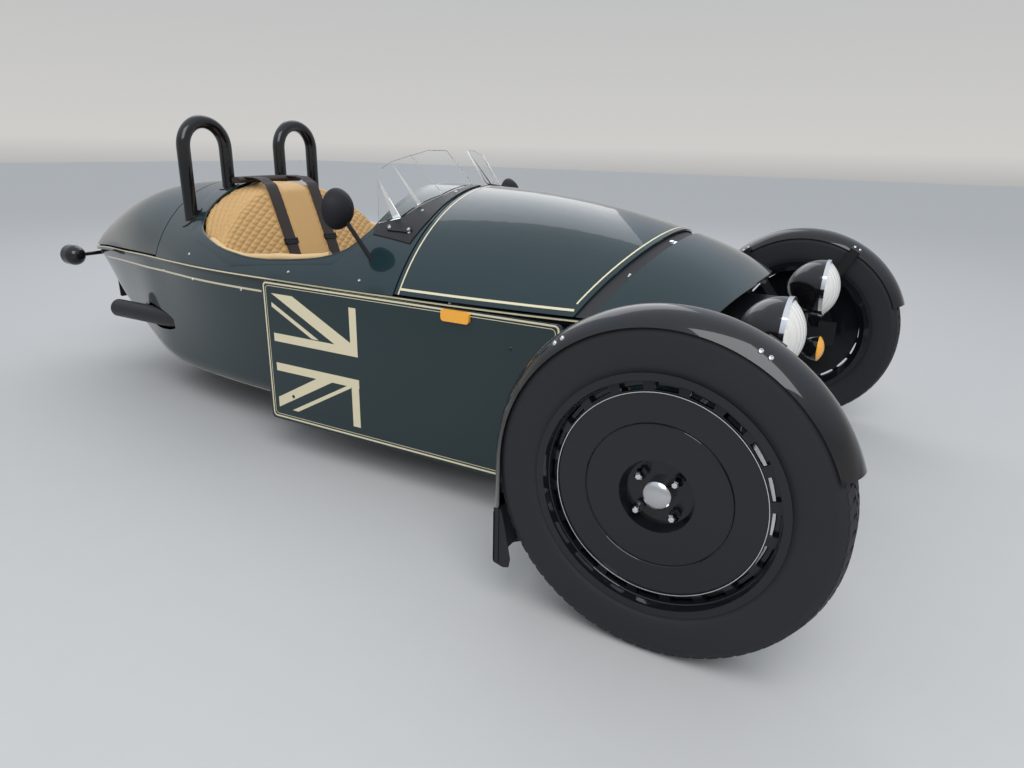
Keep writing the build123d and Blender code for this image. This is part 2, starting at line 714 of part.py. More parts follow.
# Space inside the body, used to trim what fits inside it
arch_trim = loft_rows(INNER_ROWS, arch_face, inset=SKIN + 8, drop=20.0)
with BuildPart() as cabin:
    add(hull_space)
    add(arch_space)
with BuildPart() as padded_cabin:
    add(hull_space)
    add(arch_trim)

FIREWALL_THICK = 8.0
with BuildPart() as firewall:
    add(plan_block(FIREWALL, FIREWALL + FIREWALL_THICK, 600, 50, 1000))
    add(cabin.part, mode=Mode.INTERSECT)
save(firewall, "firewall")

axis_out = Vector(0, cos(radians(WHEEL_TILT)), sin(radians(WHEEL_TILT)))
column_plane = Plane(origin=WHEEL_CENTRE - axis_out * 40, x_dir=(1, 0, 0), z_dir=-axis_out)
DASH = 1112.0
DASH_THICK = 16.0
DASH_LOW = 430.0
SHAFT_R = 9.0
SHAFT_LENGTH = 90.0
with BuildPart() as dashboard:
    add(plan_block(DASH, DASH + DASH_THICK, 600, DASH_LOW, SKY))
    add(cabin.part, mode=Mode.INTERSECT)
    with BuildSketch(column_plane):
        Circle(COLUMN_R)
    extrude(amount=COLUMN_LENGTH)
    with BuildSketch(column_plane):
        Circle(SHAFT_R + RUNNING_FIT)
    extrude(amount=SHAFT_LENGTH + 2, mode=Mode.SUBTRACT)
save(dashboard, "dashboard")

with BuildPart() as steering_wheel:
    disc = Plane(origin=WHEEL_CENTRE, x_dir=(1, 0, 0), z_dir=axis_out)
    with BuildSketch(Plane(origin=WHEEL_CENTRE, x_dir=(1, 0, 0), z_dir=disc.y_dir)):
        with Locations((STEERING_R, 0)):
            Circle(STEERING_GRIP)
    revolve(axis=Axis(WHEEL_CENTRE, axis_out))
    with BuildSketch(disc.offset(-12)):
        Circle(34)
        for angle in (0, 180, 270):
            with Locations(Location((STEERING_R / 2 * cos(radians(angle)), STEERING_R / 2 * sin(radians(angle))),
                                    angle)):
                Rectangle(STEERING_R, 24)
    extrude(amount=5)
    with BuildSketch(disc.offset(-30)):
        Circle(26)
    extrude(amount=24)
    with BuildSketch(disc.offset(-30)):
        Circle(SHAFT_R)
    extrude(amount=-(SHAFT_LENGTH + 10 - 4))
save(steering_wheel, "steering_wheel")

# Engine: one plain block on two feet
ENGINE_FRONT = 215.0
ENGINE_REAR = 690.0
ENGINE_HALF = 160.0
ENGINE_LOW = 175.0
ENGINE_HIGH = 610.0
with BuildPart() as engine_block:
    add(plan_block(ENGINE_FRONT, ENGINE_REAR, ENGINE_HALF, ENGINE_LOW, ENGINE_HIGH))
    for station in (ENGINE_FRONT + 60, ENGINE_REAR - 60):
        add(plan_block(station - 20, station + 20, ENGINE_HALF - 20, 100, ENGINE_LOW + 5))
    add(hull_space, mode=Mode.INTERSECT)
save(engine_block, "engine_block")

# Bench: cushion and upright back, plain solids of the padding's outer size
CUSHION = (1290.0, 1690.0)
CUSHION_HALF = 425.0
CUSHION_TOP = 300.0
BACK_HALF = 450.0
BACK_OUTLINE = [(1700, 290), (1790, 570), (1900, 850), (1960, 890), (2100, 890), (2100, 840), (2010, 820),
                (1900, 570), (1810, 290)]


def side_face(points):
    """Face in the plane along the car's centre, from stations and heights."""
    with BuildSketch() as face:
        with BuildLine():
            Polyline(*[(AXLE_Y + station, z) for station, z in points], close=True)
        make_face()
    return face.sketch


with BuildPart() as seat_cushion:
    add(plan_block(*CUSHION, CUSHION_HALF, 100, CUSHION_TOP))
    add(hull_space, mode=Mode.INTERSECT)
save(seat_cushion, "seat_cushion")

with BuildPart() as seat_back:
    with BuildSketch(Plane.YZ):
        add(side_face(BACK_OUTLINE))
    extrude(amount=BACK_HALF, both=True)
    add(padded_cabin.part, mode=Mode.INTERSECT)
save(seat_back, "seat_back")

STRAP_X = 110.0
STRAP_HALF = 24.0
strap_line = [(s, z) for s, z in BACK_OUTLINE[:4]]
with BuildPart() as harness:
    for side in (1, -1):
        with BuildSketch(Plane.YZ.offset(side * STRAP_X)):
            outer = [(s - 4, z + 1) for s, z in strap_line[1:3]]
            inner_line = [(s - SEAT_GAP, z) for s, z in reversed(strap_line[1:3])]
            add(side_face(outer + inner_line))
        extrude(amount=STRAP_HALF, both=True)
save(harness, "harness")

# Roll hoops standing on the deck
HOOP_CENTRE_Z = HOOP_TOP - HOOP_TUBE_R - HOOP_HALF
HOOP_FOOT_R = 40.0
arch_proud = loft_rows(SECTIONS, arch_face, inset=-4.0)
with BuildPart() as hoop_feet:
    with BuildSketch(Plane.XY.offset(HOOP_CENTRE_Z * 2 / 3)):
        for x in (HOOP_X - HOOP_HALF, HOOP_X + HOOP_HALF):
            with Locations((x, AXLE_Y + HOOP_STATION), (-x, AXLE_Y + HOOP_STATION)):
                Circle(HOOP_FOOT_R)
    extrude(amount=SKY)
    add(arch_proud, mode=Mode.INTERSECT)
with BuildPart() as roll_hoops:
    for side in (1, -1):
        for x in (HOOP_X - HOOP_HALF, HOOP_X + HOOP_HALF):
            with BuildSketch(Plane.XY.offset(HOOP_CENTRE_Z)):
                with Locations((side * x, AXLE_Y + HOOP_STATION)):
                    Circle(HOOP_TUBE_R)
            extrude(amount=-HOOP_CENTRE_Z / 3)
        with BuildSketch(Plane.XY.offset(HOOP_CENTRE_Z)):
            with Locations((side * (HOOP_X + HOOP_HALF), AXLE_Y + HOOP_STATION)):
                Circle(HOOP_TUBE_R)
        revolve(axis=Axis((side * HOOP_X, AXLE_Y + HOOP_STATION, HOOP_CENTRE_Z), (0, -side, 0)), revolution_arc=180)
    add(hoop_feet.part)
    add(arch_clear, mode=Mode.SUBTRACT)
save(roll_hoops, "roll_hoops")

# Flat side plates held off the tub, with a marker lamp on the upper edge
MARKER = (668.0, 762.0)
MARKER_HEIGHT = 34.0
MARKER_THICK = 10.0


def plate_side(side):
    """Plane on the inner face of a side plate, local x along the car."""
    return Plane(origin=(side * PLATE_INNER, AXLE_Y, 0), x_dir=(0, side, 0), z_dir=(side, 0, 0))


for side, name in ((1, "left"), (-1, "right")):
    with BuildPart() as side_plate:
        with BuildSketch(plate_side(side)):
            with Locations((side * (PLATE_FRONT + PLATE_REAR) / 2, (PLATE_BOTTOM + PLATE_TOP) / 2)):
                RectangleRounded(PLATE_REAR - PLATE_FRONT, PLATE_TOP - PLATE_BOTTOM, PLATE_CORNER)
        extrude(amount=PLATE_THICK)
    save(side_plate, f"side_plate_{name}")

# Windscreens: three flat facets each, from corner points as distance out, station and height
SCREEN = {
    "foot_out": (378.0, 1140.0, 784.0), "foot_mid": (339.0, 1048.0, 811.0),
    "foot_in": (184.0, 985.0, 882.0), "foot_centre": (36.0, 962.0, 909.0),
    "top_out": (347.0, 1156.0, 932.0), "crest_out": (323.0, 1164.0, 964.0), "crest_mid": (286.0, 1152.0, 985.0),
    "top_mid": (222.0, 1120.0, 1006.0), "crest_in": (138.0, 1108.0, 1024.0), "top_in": (65.0, 1088.0, 1022.0),
}
FACETS = (("foot_out", "foot_mid", "top_out"),
          ("foot_mid", "foot_in", "top_mid", "crest_mid", "crest_out", "top_out"),
          ("foot_in", "foot_centre", "top_in", "crest_in", "top_mid"))
GLASS = 5.0
SUNK = 30.0


def screen_point(key, side):
    """Corner of a windscreen, its foot carried a little way into the skin."""
    x, station, z = SCREEN[key]
    return Vector(side * x, AXLE_Y + station, z - (SUNK if key.startswith("foot") else 0.0))


BASE_PLAN = [(372, 1150), (408, 1135), (424, 979), (330, 968), (40, 964), (36, 984), (190, 1008), (322, 1062)]
with BuildPart() as screen_bases:
    with BuildSketch(Plane.XY.offset(section_at(SCUTTLE)[1] + 50)):
        for side in (1, -1):
            with BuildLine():
                Polyline(*[(side * x, AXLE_Y + station) for x, station in BASE_PLAN], close=True)
            make_face()
    extrude(amount=SKY)
    add(arch_proud, mode=Mode.INTERSECT)
    add(arch_clear, mode=Mode.SUBTRACT)
save(screen_bases, "screen_bases")

with BuildPart() as windscreens:
    for side in (1, -1):
        for facet in FACETS:
            points = [screen_point(key, side) for key in facet]
            normal = (points[1] - points[0]).cross(points[2] - points[0])
            forward = normal if normal.Y < 0 else normal * -1
            pane = Plane(origin=points[0], x_dir=points[1] - points[0], z_dir=forward)
            with BuildSketch(pane):
                with BuildLine():
                    Polyline(*[tuple(pane.to_local_coords(p))[:2] for p in points], close=True)
                make_face()
            extrude(amount=GLASS / 2, both=True)
    add(arch_proud.moved(Location((0, 0, SEAT_GAP))), mode=Mode.SUBTRACT)
save(windscreens, "windscreens")

# Mirrors on bent stalks
MIRROR = (520.0, 1173.0, 850.0)
MIRROR_NECK = (503.0, 1140.0, 792.0)
MIRROR_FOOT = (468.0, 1088.0, 690.0)
MIRROR_R = 62.0
STALK_R = 7.0


def cap_points(radius, rim, peak):
    """Three points of the arc from a rim to a peak on the axis whose centre lies on that axis."""
    height, side_of = abs(peak - rim), (1 if peak > rim else -1)
    ball = (radius ** 2 + height ** 2) / (2 * height)
    centre = peak - side_of * ball
    middle = atan2(radius, (rim - centre) * side_of) / 2
    return (radius, rim), (ball * sin(middle), centre + side_of * ball * cos(middle)), (0, peak)


def dome(radius, peak, flat, rim):
    """Half-section of a round housing about local y: a round cap on one side, flat on the other."""
    with BuildSketch() as face:
        with BuildLine():
            Polyline((0, flat), (radius, flat), (radius, rim))
            ThreePointArc(*cap_points(radius, rim, peak))
            Line((0, peak), (0, flat))
        make_face()
    return face.sketch


def facing(side, centre):
    """Level plane at a point given by distance out, station and height; local y to the rear."""
    x, station, z = centre
    return Plane(origin=(side * x, AXLE_Y + station, z), x_dir=(1, 0, 0), z_dir=(0, 0, 1))


with BuildPart() as mirrors:
    for side in (1, -1):
        foot, neck, head = (facing(side, point) for point in (MIRROR_FOOT, MIRROR_NECK, MIRROR))
        for low, high in ((foot.origin, neck.origin), (neck.origin, head.origin)):
            with BuildSketch(Plane(origin=low, z_dir=high - low)):
                Circle(STALK_R)
            extrude(amount=(high - low).length + 2)
        with BuildSketch(head):
            add(dome(MIRROR_R, -42, 8, 2))
        revolve(axis=Axis(head.origin, (0, 1, 0)))
    add(arch_clear, mode=Mode.SUBTRACT)
save(mirrors, "mirrors")

# Headlamps and indicators on brackets from the front frame
LAMP_WALL = LAMP_R - LENS_R - SEAT_GAP
BLINKER_DEPTH = 56.0
BRACKET_Z = 440.0
POST_R = 10.0
POST_STATION = LAMP_STATION + 50.0
with BuildPart() as headlamps:
    for side in (1, -1):
        lamp = facing(side, (LAMP_X, LAMP_STATION, LAMP_Z))
        with BuildSketch(lamp):
            with BuildLine():
                Line((LAMP_R, 0), (LAMP_R, 14))
                ThreePointArc((LAMP_R, 14), (LAMP_R * 0.76, LAMP_DEPTH * 0.66), (0, LAMP_DEPTH))
                Line((0, LAMP_DEPTH), (0, LAMP_DEPTH - 4))
                ThreePointArc((0, LAMP_DEPTH - 4), (LAMP_R * 0.76 - 3, LAMP_DEPTH * 0.66 - 3),
                              (LAMP_R - LAMP_WALL, 14))
                Polyline((LAMP_R - LAMP_WALL, 14), (LAMP_R - LAMP_WALL, 0), (LAMP_R, 0))
            make_face()
        revolve(axis=Axis(lamp.origin, (0, 1, 0)))
        blinker = facing(side, (BLINKER_X, BLINKER_STATION, BLINKER_Z))
        with BuildSketch(blinker):
            with BuildLine():
                Line((0, 0), (BLINKER_R, 0))
                ThreePointArc((BLINKER_R, 0), (BLINKER_R * 0.8, BLINKER_DEPTH * 0.6), (14, BLINKER_DEPTH))
                Polyline((14, BLINKER_DEPTH), (0, BLINKER_DEPTH), (0, 0))
            make_face()
        revolve(axis=Axis(blinker.origin, (0, 1, 0)))
        with BuildSketch(Plane.XY.offset(BLINKER_Z)):
            with Locations((side * BLINKER_X, AXLE_Y + POST_STATION)):
                Circle(POST_R)
        extrude(amount=LAMP_Z - LAMP_R + 22 - BLINKER_Z)
        reach = -(POST_STATION - POST_R)
        with BuildSketch(Plane(origin=(side * (FRAME_HALF + SEAT_GAP), AXLE_Y, 0), x_dir=(0, 1, 0),
                               z_dir=(side, 0, 0))):
            with Locations((-reach / 2, side * BRACKET_Z)):
                Rectangle(reach, 30)
        extrude(amount=BLINKER_X - FRAME_HALF - SEAT_GAP + 8)
save(headlamps, "headlamps")

with BuildPart() as headlamp_lenses:
    for side in (1, -1):
        lamp = facing(side, (LAMP_X, LAMP_STATION, LAMP_Z))
        with BuildSketch(lamp):
            with BuildLine():
                ThreePointArc(*cap_points(LENS_R, 0, -LENS_BULGE))
                Line((0, -LENS_BULGE), (0, -LENS_BULGE + 4))
                ThreePointArc(*reversed(cap_points(LENS_R - 4, 0, -LENS_BULGE + 4)))
                Polyline((LENS_R - 4, 0), (LENS_R - 4, 6), (LENS_R, 6), (LENS_R, 0))
            make_face()
        revolve(axis=Axis(lamp.origin, (0, 1, 0)))
save(headlamp_lenses, "headlamp_lenses")

# Amber lenses: indicators in front and the markers on the side plates
with BuildPart() as amber_lenses:
    for side in (1, -1):
        blinker = facing(side, (BLINKER_X, BLINKER_STATION - SEAT_GAP, BLINKER_Z))
        with BuildSketch(blinker):
            add(dome(BLINKER_R, -20, 0, -3))
        revolve(axis=Axis(blinker.origin, (0, 1, 0)))
        with BuildSketch(plate_side(side).offset(PLATE_THICK + SEAT_GAP)):
            with Locations((side * (MARKER[0] + MARKER[1]) / 2, PLATE_TOP - MARKER_HEIGHT / 2 - 2)):
                RectangleRounded(MARKER[1] - MARKER[0], MARKER_HEIGHT, 10)
        extrude(amount=MARKER_THICK)
save(amber_lenses, "amber_lenses")

# Exhaust: pipe along the right side of the tail, standing on a post inside the tub
EXHAUST = (2170.0, 2650.0)
EXHAUST_POST_R = 9.0
with BuildPart() as pipe:
    with BuildSketch(at_station(EXHAUST[0])):
        with Locations((EXHAUST_X, EXHAUST_Z)):
            Circle(EXHAUST_R)
    extrude(amount=-(EXHAUST[1] - EXHAUST[0]))
    with BuildSketch(at_station(EXHAUST[0] + 100)):
        with Locations((EXHAUST_X, EXHAUST_Z)):
            Circle(EXHAUST_R - 4)
    extrude(amount=-(EXHAUST[1] - EXHAUST[0]), mode=Mode.SUBTRACT)
    with BuildSketch(Plane.XY.offset(EXHAUST_Z)):
        with Locations((EXHAUST_X + EXHAUST_R - 8, AXLE_Y + EXHAUST[0] + 20)):
            Circle(EXHAUST_POST_R)
    extrude(amount=-EXHAUST_Z)
with BuildPart() as pipe_front:
    add(pipe.part)
    split(bisect_by=at_station(EXHAUST[0] + 36), keep=Keep.TOP)
    add(hull_space, mode=Mode.INTERSECT)
with BuildPart() as exhaust:
    add(pipe.part)
    split(bisect_by=at_station(EXHAUST[0] + 36), keep=Keep.BOTTOM)
    add(pipe_front.part)
save(exhaust, "exhaust")

# Rear swing arm on a stand inside the tub, and the rear wheel in it
ARM_X = (128.0, 146.0)
PIVOT_STATION = WHEEL_STATION - 370.0
PIVOT_Z = 300.0
PIVOT_R = 16.0
STAND_HALF = 32.0
STAND_X = ARM_X[1] + 14.0
HUB_HALF = 100.0
rear_hub = facing(1, (0, WHEEL_STATION, REAR_TYRE_R))
rear_axle = Axis(rear_hub.origin, (1, 0, 0))
across = Plane(origin=(0, AXLE_Y, 0), x_dir=(0, 1, 0), z_dir=(1, 0, 0))


with BuildPart() as rear_stand:
    for side in (1, -1):
        with BuildSketch(Plane.XY):
            with Locations((side * STAND_X, AXLE_Y + PIVOT_STATION)):
                Rectangle(16, 2 * STAND_HALF)
        extrude(amount=PIVOT_Z + 30)
    add(cross_bar(PIVOT_STATION, PIVOT_Z, PIVOT_R, STAND_X))
    add(hull_space, mode=Mode.INTERSECT)
save(rear_stand, "rear_stand")

with BuildPart() as swing_arm:
    for side in (1, -1):
        with BuildSketch(across.offset(side * (ARM_X[0] + ARM_X[1]) / 2)):
            with BuildLine():
                front, rear = PIVOT_STATION - 26, WHEEL_STATION + 30
                Polyline((front, PIVOT_Z - 26), (front, PIVOT_Z + 30), (rear, REAR_TYRE_R + 26),
                         (rear, REAR_TYRE_R - 26), close=True)
            make_face()
        extrude(amount=(ARM_X[1] - ARM_X[0]) / 2, both=True)
    add(cross_bar(PIVOT_STATION, PIVOT_Z, PIVOT_R + SEAT_GAP, ARM_X[1] + 1), mode=Mode.SUBTRACT)
    add(cross_bar(WHEEL_STATION, REAR_TYRE_R, REAR_AXLE_R, ARM_X[1] + 12))
save(swing_arm, "swing_arm")

with BuildPart() as rear_tyre:
    with BuildSketch(rear_hub):
        add(tyre_profile(REAR_TYRE_R, REAR_TYRE_HALF, REAR_TREAD_HALF, REAR_RIM_R + SEAT_GAP,
                         REAR_RIM_HALF - 4 - SEAT_GAP, REAR_RIM_R + 12))
    revolve(axis=rear_axle)
save(rear_tyre, "rear_tyre")

with BuildPart() as rear_rim:
    with BuildSketch(rear_hub):
        add(rim_barrel(REAR_RIM_R, REAR_RIM_R + 12, REAR_RIM_HALF, RIM_WALL, 20))
        with BuildLine():
            Polyline((10, REAR_RIM_R - 22), (10, 50), (HUB_HALF, 50), (HUB_HALF, 0), (-HUB_HALF, 0), (-HUB_HALF, 40),
                     (0, 40), (0, REAR_RIM_R - 22), close=True)
        make_face()
        with Locations((HUB_HALF - 14, (PULLEY_R + 40) / 2)):
            Rectangle(24, PULLEY_R - 40)
    revolve(axis=rear_axle)
    add(cross_bar(WHEEL_STATION, REAR_TYRE_R, REAR_AXLE_R + RUNNING_FIT, HUB_HALF + 1), mode=Mode.SUBTRACT)
save(rear_rim, "rear_rim")

# Boot tray with a hump over the rear wheel
TRAY_Z = 540.0
TRAY_THICK = 8.0
TRAY = (2040.0, 2950.0)
HUMP_HALF = 125.0
HUMP_REACH = 250.0
HUMP_TOP = 2 * REAR_TYRE_R + 22.0
with BuildPart() as boot_tray:
    add(plan_block(*TRAY, 600, TRAY_Z, TRAY_Z + TRAY_THICK))
    add(hull_space, mode=Mode.INTERSECT)
    add(plan_block(WHEEL_STATION - HUMP_REACH, WHEEL_STATION + HUMP_REACH, HUMP_HALF, TRAY_Z, HUMP_TOP))
    add(plan_block(WHEEL_STATION - HUMP_REACH + TRAY_THICK, WHEEL_STATION + HUMP_REACH - TRAY_THICK,
                   HUMP_HALF - TRAY_THICK, TRAY_Z - 1, HUMP_TOP - TRAY_THICK), mode=Mode.SUBTRACT)
save(boot_tray, "boot_tray")

# Leather linings on the inner sides of the cockpit
LINING = (1180.0, 1690.0)
LINING_THICK = 6.0
LINING_HEIGHTS = (330.0, 590.0)
lining_core = loft_rows(HULL_INNER, hull_face, inset=TUB_WALL + SEAT_GAP + LINING_THICK, rise=20.0)
with BuildPart() as side_linings:
    add(plan_block(*LINING, 600, *LINING_HEIGHTS))
    add(hull_space, mode=Mode.INTERSECT)
    add(lining_core, mode=Mode.SUBTRACT)
save(side_linings, "side_linings")

# Tail lamps on stalks and a blank number plate on its bracket
TAIL_LAMP = (250.0, 3100.0, 508.0)
TAIL_LAMP_R = 47.0
TAIL_LAMP_REAR = 40.0
TAIL_STALK_R = 9.0
with BuildPart() as tail_lamps:
    for side in (1, -1):
        pod = facing(side, TAIL_LAMP)
        with BuildSketch(pod):
            add(dome(TAIL_LAMP_R, -42, TAIL_LAMP_REAR, 0))
        revolve(axis=Axis(pod.origin, (0, 1, 0)))
        with BuildSketch(Plane(origin=pod.origin, z_dir=(-side, 0, 0))):
            Circle(TAIL_STALK_R)
        extrude(amount=TAIL_LAMP[0] - 60)
    add(hull_clear, mode=Mode.SUBTRACT)
save(tail_lamps, "tail_lamps")

with BuildPart() as tail_lenses:
    for side in (1, -1):
        pod = facing(side, (TAIL_LAMP[0], TAIL_LAMP[1] + TAIL_LAMP_REAR + SEAT_GAP, TAIL_LAMP[2]))
        with BuildSketch(pod):
            add(dome(TAIL_LAMP_R - 3, 14, 0, 3))
        revolve(axis=Axis(pod.origin, (0, 1, 0)))
save(tail_lenses, "tail_lenses")

HOLDER_STATION = 3050.0
HOLDER_HALF = 90.0
HOLDER = (290.0, 410.0)
HOLDER_THICK = 5.0
HOLE_X = 60.0
HOLE_R = 3.5
with BuildPart() as plate_holder:
    with BuildSketch(at_station(HOLDER_STATION)):
        with Locations((0, sum(HOLDER) / 2)):
            RectangleRounded(2 * HOLDER_HALF, HOLDER[1] - HOLDER[0], 8)
        for x in (-HOLE_X, HOLE_X):
            with Locations((x, sum(HOLDER) / 2)):
                Circle(HOLE_R, mode=Mode.SUBTRACT)
        for x in (-40, 40):
            with Locations((x, HOLDER[1] + 20)):
                Rectangle(16, 90)
    extrude(amount=HOLDER_THICK)
    add(hull_clear, mode=Mode.SUBTRACT)
save(plate_holder, "plate_holder")
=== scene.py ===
"""Looks of an open two-seat car on three wheels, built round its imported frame.

Lengths are in metres. The nose points to -Y, +X is the driver's left and the ground is at zero height.
A station is a distance behind the front axle.
"""

import json
import logging
import math
from dataclasses import dataclass, field
from enum import Enum
from itertools import product
from typing import Callable, Iterable, Mapping, Sequence

import bmesh
import bpy
import numpy as np
from mathutils import Matrix, Vector
from mathutils.bvhtree import BVHTree

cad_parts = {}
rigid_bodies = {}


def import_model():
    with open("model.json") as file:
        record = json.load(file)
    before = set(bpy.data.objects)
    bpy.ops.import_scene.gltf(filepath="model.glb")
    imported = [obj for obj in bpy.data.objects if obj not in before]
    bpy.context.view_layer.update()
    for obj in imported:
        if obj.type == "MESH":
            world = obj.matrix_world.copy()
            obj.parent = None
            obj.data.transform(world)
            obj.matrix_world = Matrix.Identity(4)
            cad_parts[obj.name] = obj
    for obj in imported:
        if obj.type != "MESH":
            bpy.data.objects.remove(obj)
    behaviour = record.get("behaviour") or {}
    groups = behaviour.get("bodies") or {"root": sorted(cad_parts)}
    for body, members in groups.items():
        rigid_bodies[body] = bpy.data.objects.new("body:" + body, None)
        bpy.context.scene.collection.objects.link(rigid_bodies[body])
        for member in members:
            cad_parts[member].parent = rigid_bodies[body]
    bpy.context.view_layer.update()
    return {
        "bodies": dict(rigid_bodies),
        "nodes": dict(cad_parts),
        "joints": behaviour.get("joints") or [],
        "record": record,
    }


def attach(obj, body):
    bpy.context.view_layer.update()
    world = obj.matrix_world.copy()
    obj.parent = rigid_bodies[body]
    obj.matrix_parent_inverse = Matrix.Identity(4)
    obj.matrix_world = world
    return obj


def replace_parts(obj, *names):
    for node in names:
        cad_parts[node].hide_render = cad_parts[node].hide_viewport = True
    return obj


LOG = logging.getLogger("car")
FRONT_AXLE_Y = -1.4205
WHEEL_X = 0.862
SIDES = ((1, "left"), (-1, "right"))
DOWN = Vector((0, 0, -1))
REARWARD = Vector((0, 1, 0))
SHARP_EDGE = math.radians(35)
MATH = "ShaderNodeMath"
Point = tuple[float, float, float]
Ray = tuple[Vector, Vector]
Sockets = Sequence[tuple[str, str]]


def at(x: float, station: float, z: float) -> Vector:
    """Point from its distance to the left, station and height."""
    return Vector((x, FRONT_AXLE_Y + station, z))


def add_node(tree: bpy.types.NodeTree, kind: str, inputs: Mapping[str | int, object] | None = None,
             **settings: object) -> bpy.types.Node:
    """Add a node to a tree.

    Args:
        tree: The tree.
        kind: Type name of the node.
        inputs: Inputs by name or number, each with its value or the output that feeds it.
        settings: Properties of the node.

    Returns:
        The node.
    """
    made = tree.nodes.new(kind)
    for label, value in settings.items():
        setattr(made, label, value)
    feed(tree, made, inputs or {})
    return made


def feed(tree: bpy.types.NodeTree, node: bpy.types.Node, inputs: Mapping[str | int, object]) -> None:
    """Give a node's inputs their values, or link them to the outputs that feed them.

    Args:
        tree: The tree.
        node: The node.
        inputs: Inputs by name or number, each with its value or the output that feeds it.
    """
    for label, value in inputs.items():
        if isinstance(value, bpy.types.NodeSocket):
            tree.links.new(value, node.inputs[label])
        else:
            node.inputs[label].default_value = value


def new_tree(name: str, kind: str, inputs: Sockets,
             outputs: Sockets) -> tuple[bpy.types.NodeTree, bpy.types.Node, bpy.types.Node]:
    """Start a node group.

    Args:
        name: Name of the group.
        kind: Type name of the group.
        inputs: Names and kinds of its inputs.
        outputs: Names and kinds of its outputs.

    Returns:
        The group, its input node and its output node.
    """
    tree = bpy.data.node_groups.new(name, kind)
    for way, sockets in (("INPUT", inputs), ("OUTPUT", outputs)):
        for label, socket in sockets:
            tree.interface.new_socket(label, in_out=way, socket_type=f"NodeSocket{socket}")
    return tree, tree.nodes.new("NodeGroupInput"), tree.nodes.new("NodeGroupOutput")


# Finishes


class Surface(Enum):
    """Relief or colour pattern that a finish carries."""

    PLAIN = "plain"
    GRAIN = "grain"
    LEATHER = "leather"
    WEAVE = "weave"
    CORE = "core"
    FLUTES = "flutes"
    BRUSHED = "brushed"


@dataclass(frozen=True)
class Finish:
    """One material: constants for the shader and the surface pattern it carries."""

    name: str
    slot: str
    colour: Point
    roughness: float = 0.5
    metallic: float = 0.0
    coat: float = 0.0
    coat_roughness: float = 0.03
    specular: float = 0.5
    transmission: float = 0.0
    ior: float = 1.45
    surface: Surface = Surface.PLAIN
    scale: float = 300.0
    relief: float = 0.0
    mottle: float = 0.0

    def material(self) -> bpy.types.Material:
        """Return the material, built on first use.

        Returns:
            The Blender material of this finish.
        """
        made = bpy.data.materials.get(self.name)
        if made:
            return made
        made = bpy.data.materials.new(self.name)
        made.use_nodes = True
        tree = made.node_tree
        shader = tree.nodes["Principled BSDF"]
        colour = (*self.colour, 1.0)
        feed(tree, shader, {
            "Base Color": colour, "Roughness": self.roughness, "Metallic": self.metallic,
            "Coat Weight": self.coat, "Coat Roughness": self.coat_roughness, "IOR": self.ior,
            "Specular IOR Level": self.specular, "Transmission Weight": self.transmission})
        place = add_node(tree, "ShaderNodeTexCoord").outputs["Object"]
        if self.mottle:
            wear = add_node(tree, "ShaderNodeGroup", node_tree=mottle_group())
            feed(tree, wear, {"Place": place, "Colour": colour, "Roughness": self.roughness,
                              "Amount": self.mottle})
            feed(tree, shader, {"Base Color": wear.outputs["Colour"],
                                "Roughness": wear.outputs["Roughness"]})
        if self.relief:
            relief = add_node(tree, "ShaderNodeGroup", node_tree=relief_group(self.surface))
            feed(tree, relief, {"Place": place, "Scale": self.scale})
            bump = add_node(tree, "ShaderNodeBump",
                            {"Distance": self.relief, "Height": relief.outputs["Height"]})
            feed(tree, shader, {"Normal": bump.outputs["Normal"]})
        return made


def mottle_group() -> bpy.types.NodeTree:
    """Node group that varies a colour and a roughness a little over the surface.

    Returns:
        The group, with outputs Colour and Roughness.
    """
    if "mottle" in bpy.data.node_groups:
        return bpy.data.node_groups["mottle"]
    tree, start, end = new_tree(
        "mottle", "ShaderNodeTree",
        (("Place", "Vector"), ("Colour", "Color"), ("Roughness", "Float"), ("Amount", "Float")),
        (("Colour", "Color"), ("Roughness", "Float")))
    noise = add_node(tree, "ShaderNodeTexNoise",
                     {"Vector": start.outputs["Place"], "Scale": 9.0, "Detail": 4.0})
    shift = add_node(tree, MATH, {0: noise.outputs["Fac"], 1: 0.5}, operation="SUBTRACT")
    swing = add_node(tree, MATH, {0: shift.outputs[0], 1: start.outputs["Amount"]}, operation="MULTIPLY")
    rough = add_node(tree, MATH, {0: swing.outputs[0], 1: start.outputs["Roughness"]}, operation="ADD")
    gain = add_node(tree, MATH, {0: swing.outputs[0], 1: 1.0}, operation="ADD")
    tint = add_node(tree, "ShaderNodeVectorMath",
                    {0: start.outputs["Colour"], "Scale": gain.outputs[0]}, operation="SCALE")
    feed(tree, end, {"Colour": tint.outputs[0], "Roughness": rough.outputs[0]})
    return tree


